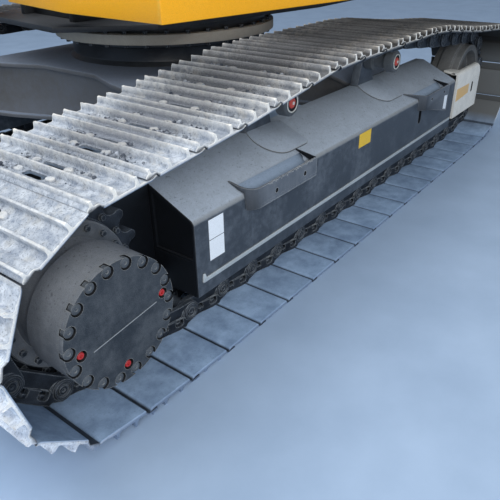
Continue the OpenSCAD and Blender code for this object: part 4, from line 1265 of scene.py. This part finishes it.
def doubler(x):
    """Outline of the plate on the slope near a carrier roller: along x, outwards."""
    nose = ring(106, 14, math.radians(248), x - 2, -24, math.radians(-158))
    return [(x + 150, RIDGE + 4)] + nose + [(x + 128, 82), (x + 146, 74), (x + 150, 62)]


def stadium(x, z, half_wide, half_high, steps=8):
    """An upright slot with round ends."""
    rise = half_high - half_wide
    upper = ring(half_wide, steps, 0, x, z + rise, math.pi)
    return upper + ring(half_wide, steps, math.pi, x, z - rise, math.pi)


def blank_label(outline, at, face, finish, thick=0.8):
    """A thin plate without print on a face."""
    return drawn("label", outline, at, face - 0.2, face + thick, finish)


END_PLATE = oblong(SKIRT - 1 - FRAME_HALF, FACE_LOW + 4, FRAME_HALF - SKIRT + 1, BOX_LOW + 1)
FRAME_LABELS = ((oblong(-1166, 303, -1086, 383), label_white), (oblong(-1166, 386, -1086, 463), label_white),
                (oblong(-54, 403, 70, 472), label_yellow))
for name, side in SIDES.items():
    at, along = on_side(side), lengthwise(side)
    box = drawn("box", frame_section(), along, FRAME_REAR, FRAME_FRONT, frame_paint, rounding=7, steps=3)
    # The slot's and the rear recess's walls take the near-black as painted shade.
    cut(box, [drawn("slot", stadium(*TRACK_SLOT), at, FRAME_HALF - 46, FRAME_HALF + 9, near_black_shade),
              drawn("hollow", end_recess(), along, FRAME_REAR - 9, FRAME_REAR + END_DEEP, near_black_shade)])
    shaded(box.data, 30)
    # The rear end's faces take the near-black too, painted shade.
    for face in box.data.polygons:
        if face.normal.x < -0.6 and face.center.x / MM < FRAME_REAR + 9:
            face.material_index = 1
    # The thin end plate is near-black as well, painted shade under the box.
    parts = [box, drawn("end_plate", END_PLATE, along, FRAME_REAR + 0.4, FRAME_REAR + 3, near_black_shade),
             drawn("bar", BAR, at, FRAME_HALF - 1, FRAME_HALF + BAR_OUT, bar_dusty, rounding=1.5)]
    parts += [drawn("doubler", doubler(x), on_slope(side), -2, 3.2, frame_paint, rounding=1.2)
              for x in CARRIERS]
    parts += [blank_label(outline, at, FRAME_HALF, finish) for outline, finish in FRAME_LABELS]
    fit(joined(f"track_frame_{name}_dressed", parts), LOWER, "frame_paint", f"track_frame_{name}")

# %% [markdown]
# ## The steps
# Each step is a strap whose arm rises up the slope before it bends along the frame.
# Boots have worn the rear one's top edge into notches, two small holes drain each,
# and the pocket behind has filled with dust that carries on the slope and sinks
# where it meets the steel. A number on the dust's mesh and on the strap paints shade
# on those rims and on the strap near its bend; the holes' walls are painted black and
# the plates under and in front of the pocket near-black, as shade. The front step
# carries a blank label.

# %% Steps
# Rear end, front end, the arm's run, its turn in degrees, the bend's radius, the drop of the lower edge.
STEP_SPANS = ((-965, -510, 0, 0, 60, 0), (584, 1050, 95, 43, 30, 78))
STEP_OUT, STEP_THICK, STEP_TOP, LEAN, STRAP_LOW, ARM_START = FRAME_HALF + 36, 8, 505, 0.16, 423, 66
NOTCHED, TOOTH, TOOTH_DEEP = (-858, -532), 13, 9.0
HOLES = (((-803, 458, 10), (-600, 461, 10)), ((775, 472, 8), (970, 475, 8)))
STEP_LABEL = [(985, 369), (1033, 358), (1033, 444), (985, 447)]
DUST_END, WALL_IN = 9, 82


def strap_plan(x0, x1, run, turn, radius):
    """Plan of the strap's outer side: an arm from the slope, a bend, then along the frame."""
    middle = Vector((x0 + run + radius, STEP_OUT - radius))
    corner = ring(radius, 10, math.radians(180 - turn), angle=-math.radians(90 - turn))
    bend = [middle + Vector(p) for p in corner]
    foot = Vector((x0, ARM_START))
    line = [foot.lerp(bend[0], share) for share in (0.15, 0.4, 0.7)]
    if bend[0].y > FRAME_HALF:
        share = (FRAME_HALF + 0.5 - foot.y) / (bend[0].y - foot.y)
        line = [foot.lerp(bend[0], s) for s in (0.15, 0.4, share - 0.01, share)]
    return line + bend + [Vector((x, STEP_OUT)) for x in notch_places(x0, x1)] + [Vector((x1, STEP_OUT))]


def notch_places(x0, x1):
    """Stations of the worn notches along a strap's top edge."""
    if not x0 < NOTCHED[0] < x1:
        return []
    count = int((NOTCHED[1] - NOTCHED[0]) / TOOTH)
    return [NOTCHED[0] + (i + share) * TOOTH for i in range(count) for share in (0.0, 0.35, 0.55, 0.85)]


def strap_low(x, x0, x1, run, radius, drop):
    """Lower edge of a strap outside the frame's face."""
    bend = x0 + run + radius
    return STRAP_LOW - drop * max(0.0, (x - bend) / (x1 - bend))


def notch(i):
    """How far the top edge is worn down at a station of the notches."""
    return TOOTH_DEEP * (0.6 + 0.4 * math.sin(i // 4 * 2.3)) if i >= 0 and i % 4 > 1 else 0.0


def strap(side, span):
    """The strap swept along its plan, and the plan of its inner side."""
    x0, x1, run, turn, radius, drop = span
    line = strap_plan(x0, x1, run, turn, radius)
    first_notch = len(line) - 1 - len(notch_places(x0, x1))
    bm, rows, inner = bmesh.new(), [], []
    shade = bm.verts.layers.float.new("shade")
    for i, here in enumerate(line):
        back = (here - line[i - 1]).normalized() if i else None
        ahead = (line[i + 1] - here).normalized() if i + 1 < len(line) else None
        way = (back + ahead).normalized() if back and ahead else back or ahead
        far = here + Vector((way.y, -way.x)) * STEP_THICK
        high = STEP_TOP + LEAN * (STEP_OUT - here.y) - notch(i - first_notch if i < len(line) - 1 else -1)
        outside = here.y > FRAME_HALF
        low = strap_low(here.x, x0, x1, run, radius, drop) if outside else slope_height(here.y) - 2
        corners = ((here, low), (here, high), (far, high), (far, low))
        rows.append([bm.verts.new((p.x, side * (GAUGE / 2 + p.y), z)) for p, z in corners])
        # Painted shade on the strap near its bend, darkest at the arm.
        dark = min(0.8, max(0.0, 1.2 - (here.x - x0 - run) / 75))
        for vert, share in zip(rows[-1], (1.0, 0.55, 0.7, 1.0)):
            vert[shade] = dark * share
        inner.append(far)
    skinned(bm, rows)
    return bm, inner


def reach_out(inner, x):
    """How far out the pocket reaches at a place along the frame."""
    if x < inner[0].x:
        return 0.0
    for one, two in zip(inner, inner[1:]):
        if one.x <= x <= two.x and two.x > one.x:
            return one.y + (two.y - one.y) * (x - one.x) / (two.x - one.x)
    return inner[-1].y


def dust_bed(side, span, inner, near=106, steps=16, rows_along=46):
    """Dust between a strap and the frame: it carries on the slope and sinks where it meets the steel."""
    rear, end = span[0], span[1] - DUST_END
    bm, rows = bmesh.new(), []
    shade = bm.verts.layers.float.new("shade")
    start = next(rear + d for d in range(4, 200, 2) if reach_out(inner, rear + d) > near + 8)
    for i in range(rows_along + 1):
        x = start + (end - start) * (i / rows_along)
        limit = reach_out(inner, x) + 1.5
        row = []
        for k in range(steps + 1):
            out = near + (limit - near) * (k / steps) ** 0.8
            to_strap, to_end = limit - out, end - x
            sunk = 20 * math.exp(-to_strap / 12) + 24 * math.exp(-to_end / 26) * min(1, (out - near) / 40)
            lumps = noise.noise(Vector((x * 0.02, out * 0.04, rear)))
            lift = 1.6 * min(1, (out - near) / 14) + 2.2 * lumps * min(1, (out - near) / 30)
            vert = bm.verts.new((x, side * (GAUGE / 2 + out), slope_height(out) + lift - sunk))
            # Painted shade in the dust next to the strap and the closing plate.
            vert[shade] = min(1.0, 1.1 * math.exp(-to_strap / 15) + 1.1 * math.exp(-to_end / 22))
            row.append(vert)
        # The bed's hidden underside carries full painted shade.
        for out in (limit, near):
            row.append(bm.verts.new((x, side * (GAUGE / 2 + out), STRAP_LOW + 15)))
            row[-1][shade] = 1.0
        rows.append(row)
    skinned(bm, rows)
    return bm


def shelf(side, span):
    """The plate below the pocket and the one that closes its front end."""
    x0, x1, run, _, radius, drop = span
    along, low, face = lengthwise(side), STRAP_LOW - drop, FRAME_HALF + 0.4
    bm = bmesh.new()
    plate(bm, oblong(face, STRAP_LOW + 6, STEP_OUT - 2, STRAP_LOW + 14), [], along, x0 + run + radius, x1 - 1)
    wall = [(face, low), (STEP_OUT - 3, low), (STEP_OUT - 3, STEP_TOP),
            (WALL_IN, STEP_TOP + LEAN * (STEP_OUT - WALL_IN)), (WALL_IN, slope_height(WALL_IN) - 1),
            (face, slope_height(FRAME_HALF) - 1)]
    plate(bm, wall, [], along, x1 - STEP_THICK, x1 - 0.5)
    # Both plates are near-black: painted shade under and in front of the pocket.
    return finished("shelf", bm, near_black_shade, angle=30)


for name, side in SIDES.items():
    at, parts = on_side(side), []
    for span, drilled in zip(STEP_SPANS, HOLES):
        bm, inner = strap(side, span)
        step = finished("strap", bm, step_paint, angle=40)
        # The drain holes' walls take the black: painted shade.
        cut(step, [drawn("drill", ring(radius, 14, 0, x, z), at, FRAME_HALF + 10, STEP_OUT + 9, black_rubber_and_shade)
                   for x, z, radius in drilled])
        shaded(step.data, 40)
        bed = finished("dust_bed", dust_bed(side, span, inner), pocket_dust, angle=60)
        parts += [step, bed, shelf(side, span)]
    parts.append(blank_label(STEP_LABEL, at, STEP_OUT, label_white, thick=0.7))
    fit(joined(f"steps_{name}_dressed", parts), LOWER, "frame_paint", f"steps_{name}")

# %% [markdown]
# ## The guard over the idler
# The front of the track is covered by a pressed guard with a round nose and a long
# slot. A rounded block is hollowed out, slotted and trimmed by cutters. At its rear
# end the top flange lifts inwards like a saddle and fades forwards. An orange label
# on its side stays blank.

# %% Idler guards
GUARD_REAR, GUARD_FRONT, GUARD_LOW, GUARD_TOP, NOSE, SKIN = 1305, 1790, 222, 518, 80, 14
GUARD_IN, GUARD_OUT, SLOT_AT = 98, 152, (1630, 374)
LIP_LONG, LIP_RISE, LIP_IN, LIP_OUT = 118, 9, 50, GUARD_OUT - 22
GUARD_LABEL = [(1322, 330), (1560, 345), (1560, 408), (1322, 412)]
SPARE = 60


def guard_side(inset):
    """Side view of the guard, drawn inside its skin."""
    nose = ring(NOSE - inset, 12, 0, GUARD_FRONT - NOSE, GUARD_TOP - NOSE, math.pi / 2)
    rear, low = GUARD_REAR - inset, GUARD_LOW - inset
    return [(rear, low), (GUARD_FRONT - inset, low)] + nose + [(rear, GUARD_TOP - inset)]


def saddle(side):
    """The lip that lifts inwards at the guard's rear end and fades forwards."""
    bm, rows = bmesh.new(), []
    steps_in, steps_on = 14, 8
    for k in range(steps_on + 1):
        x = GUARD_REAR + LIP_LONG * k / steps_on
        rise = 0.5 + 0.5 * math.cos(math.pi * k / steps_on)
        upper = []
        for i in range(steps_in + 1):
            out = LIP_OUT - (LIP_OUT - LIP_IN) * i / steps_in
            lift = LIP_RISE * rise * ((LIP_OUT - out) / (LIP_OUT - LIP_IN)) ** 1.3
            upper.append((out, GUARD_TOP - 1.2 + lift + 1.3 * rise))
        lower = [(out, z - 14) for out, z in reversed(upper)]
        rows.append([bm.verts.new((x, side * (GAUGE / 2 + out), z)) for out, z in upper + lower])
    skinned(bm, rows)
    return finished("saddle", bm, guard_paint, rounding=2.5, steps=2, angle=50)


# The block is larger than the guard behind and below, so that trimming leaves those two edges square.
block = [(x - SPARE * (x == GUARD_REAR), z - SPARE * (z == GUARD_LOW)) for x, z in guard_side(0)]
# Painted shade: the hollow's inner faces take the near-black, the slot's walls the black.
cutters = ((guard_side(SKIN), GUARD_IN - 9, GUARD_OUT - SKIN, near_black_shade),
           (stadium(*SLOT_AT, 14, 36), GUARD_OUT - 2 * SKIN, GUARD_OUT + 9, black_rubber_and_shade),
           (oblong(GUARD_REAR - 200, 0, GUARD_REAR, 900), GUARD_IN - 9, GUARD_OUT + 9, guard_paint),
           (oblong(GUARD_REAR - 200, 0, 2000, GUARD_LOW), GUARD_IN - 9, GUARD_OUT + 9, guard_paint))
for name, side in SIDES.items():
    at = on_side(side)
    shell = drawn("shell", block, at, GUARD_IN, GUARD_OUT, guard_paint, rounding=24, steps=5)
    cut(shell, [drawn("cutter", outline, at, near, far, finish) for outline, near, far, finish in cutters])
    shaded(shell.data, 40)
    label = blank_label(GUARD_LABEL, at, GUARD_OUT, label_orange, thick=0.6)
    guard = joined(f"idler_guard_{name}_dressed", [shell, saddle(side), label])
    fit(guard, LOWER, "guard_paint", f"idler_guard_{name}")

# %% [markdown]
# ## Carrier rollers
# Two small rollers hold up the upper run. Their outer end shows three rings: a grey
# rim, a black seal and a red cap with a plug in its middle.

# %% Carrier rollers
CARRIER_END = 85
# Name, sides of the ring, finish, angle of crisp edges and profile of each part.
ROLLER_PARTS = (
    ("roller", 56, roller_paint, 35,
     [(0, -CARRIER_END), (48, -CARRIER_END), (55.6, -77), (56, -36), (42, -30), (40, -24), (40, 24), (42, 30),
      (56, 36), (55.6, 72), (54, 80), (50, 84), (44, CARRIER_END + 1), (40, CARRIER_END), (39, 79), (0, 79)]),
    ("seal", 40, black_rubber_and_shade, 40,
     [(0, 78), (38.8, 78), (38.8, 82), (36, 84.5), (30, 84.5), (29, 82), (0, 82)]),
    ("pale_ring", 40, guard_paint, 40,
     [(34, 80), (34, 86), (35, 87), (37.5, 87), (38.5, 85.5), (38.5, 80)]),
    ("cap", 32, cap_red, 35,
     [(0, 87), (5, 87), (7, 89.5), (11, 89.5), (12, 87.5), (15, 88.5), (19, 87), (21.5, 84), (21.5, 80),
      (0, 80)]),
    ("cap_plug", 6, guard_paint, 30, [(0, 92), (6.5, 92), (7.5, 91), (7.5, 86), (0, 86)]))
for name, side in SIDES.items():
    parts = [lathed(part, profile, count, on_side(side, x, CARRIER_HEIGHT), finish, angle=angle)
             for x in CARRIERS for part, count, finish, angle, profile in ROLLER_PARTS]
    fit(joined(f"carrier_rollers_{name}_dressed", parts), LOWER, "roller_paint", f"carrier_rollers_{name}")

# %% [markdown]
# ## Pieces kept from the CAD model
# Solid plates and castings already have the right shape. A copy of each node is
# merged and its hard edges are rounded, because a rounded edge catches the light
# and lets the worn-edge group do its work. The tub gets a weld bead round its foot,
# and the slew ring gets its bolts, which stand on a ring of spots like the others.

# %% Softened CAD pieces


def softened(node, finish, rounding=4.0, steps=2, angle=38, flatten=True):
    """A copy of a CAD node with rounded edges."""
    bm = bmesh.new()
    bm.from_mesh(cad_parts[node].data)
    return finished(f"{node}_soft", bm, finish, rounding, steps, angle, scale=1.0, flatten=flatten)


def about_axis(a, b, up):
    """A turned part that stands on the slew axis."""
    return Vector((a, b, up))


# Finish, body, slot and rounding of each node.
soft_pieces = {
    "slew_inner_ring": (bearing_paint, LOWER, "bearing_steel", 2),
    "swivel_joint": (iron, LOWER, "frame_paint", 3),
    "bottom_plate": (black_paint, UPPER, "black_paint", 3),
    "cross_beams": (black_paint, UPPER, "black_paint", 5),
    "rear_beam": (black_paint, UPPER, "black_paint", 6)}
# Drive brackets, idler yokes and travel motors take the near-black: painted shade where they sit.
for name in SIDES:
    soft_pieces.update({
        f"drive_bracket_{name}": (near_black_shade, LOWER, "frame_paint", 4),
        f"idler_yoke_{name}": (near_black_shade, LOWER, "frame_paint", 5),
        f"idler_{name}": (idler_paint, LOWER, "running_gear_iron", 3),
        f"travel_motor_{name}": (near_black_shade, LOWER, "frame_paint", 5),
        f"carrier_brackets_{name}": (frame_paint, LOWER, "frame_paint", 4),
        f"track_rollers_{name}": (iron, LOWER, "running_gear_iron", 3),
        f"roller_collars_{name}": (iron, LOWER, "running_gear_iron", 4),
        f"cheek_plate_{name}": (black_paint, UPPER, "black_paint", 4),
        f"side_rail_{name}": (yellow_paint, UPPER, "yellow_paint", 3),
        f"front_panel_{name}": (yellow_paint, UPPER, "yellow_paint", 3)})
for node, (finish, body, slot, rounding) in soft_pieces.items():
    fit(softened(node, finish, rounding), body, slot, node)

fit(softened("car_body", body_paint, 5, flatten=False), LOWER, "frame_paint", "car_body")

TUB, TUB_FOOT = 532, 745
BEAD = [(TUB - 2, TUB_FOOT - 1), (TUB + 9, TUB_FOOT - 1), (TUB + 8, TUB_FOOT + 4), (TUB + 4, TUB_FOOT + 8),
        (TUB - 2, TUB_FOOT + 10)]
bead = lathed("bead", BEAD, 96, about_axis, step_paint, angle=60)
fit(joined("slew_tub_dressed", [softened("slew_tub", tub_paint, 3), bead]), LOWER, "frame_paint", "slew_tub")

RING_BOLTS, RING_BOLT_CIRCLE, RING_LOW, RING_HIGH = 36, 590, 858, 906
bm = bmesh.new()
for low, high in ((RING_LOW - 14, RING_LOW + 1), (RING_HIGH - 1, RING_HIGH + 14)):
    turned(bm, [(0, low), (11, low), (12, low + 1.5), (12, high - 1.5), (11, high), (0, high)], 6, about_axis)
turns_round = [2 * math.pi * (i + 0.5) / RING_BOLTS for i in range(RING_BOLTS)]
spots = [((*polar(RING_BOLT_CIRCLE, turn), 0), (0, 0, turn)) for turn in turns_round]
bolts = repeated("ring_bolts", finished("ring_bolt", bm, iron), spots, iron, seed=21, angle=30)
outer_ring = joined("slew_outer_ring_dressed", [softened("slew_outer_ring", bearing_paint, 3), bolts])
fit(outer_ring, UPPER, "bearing_steel", "slew_outer_ring")
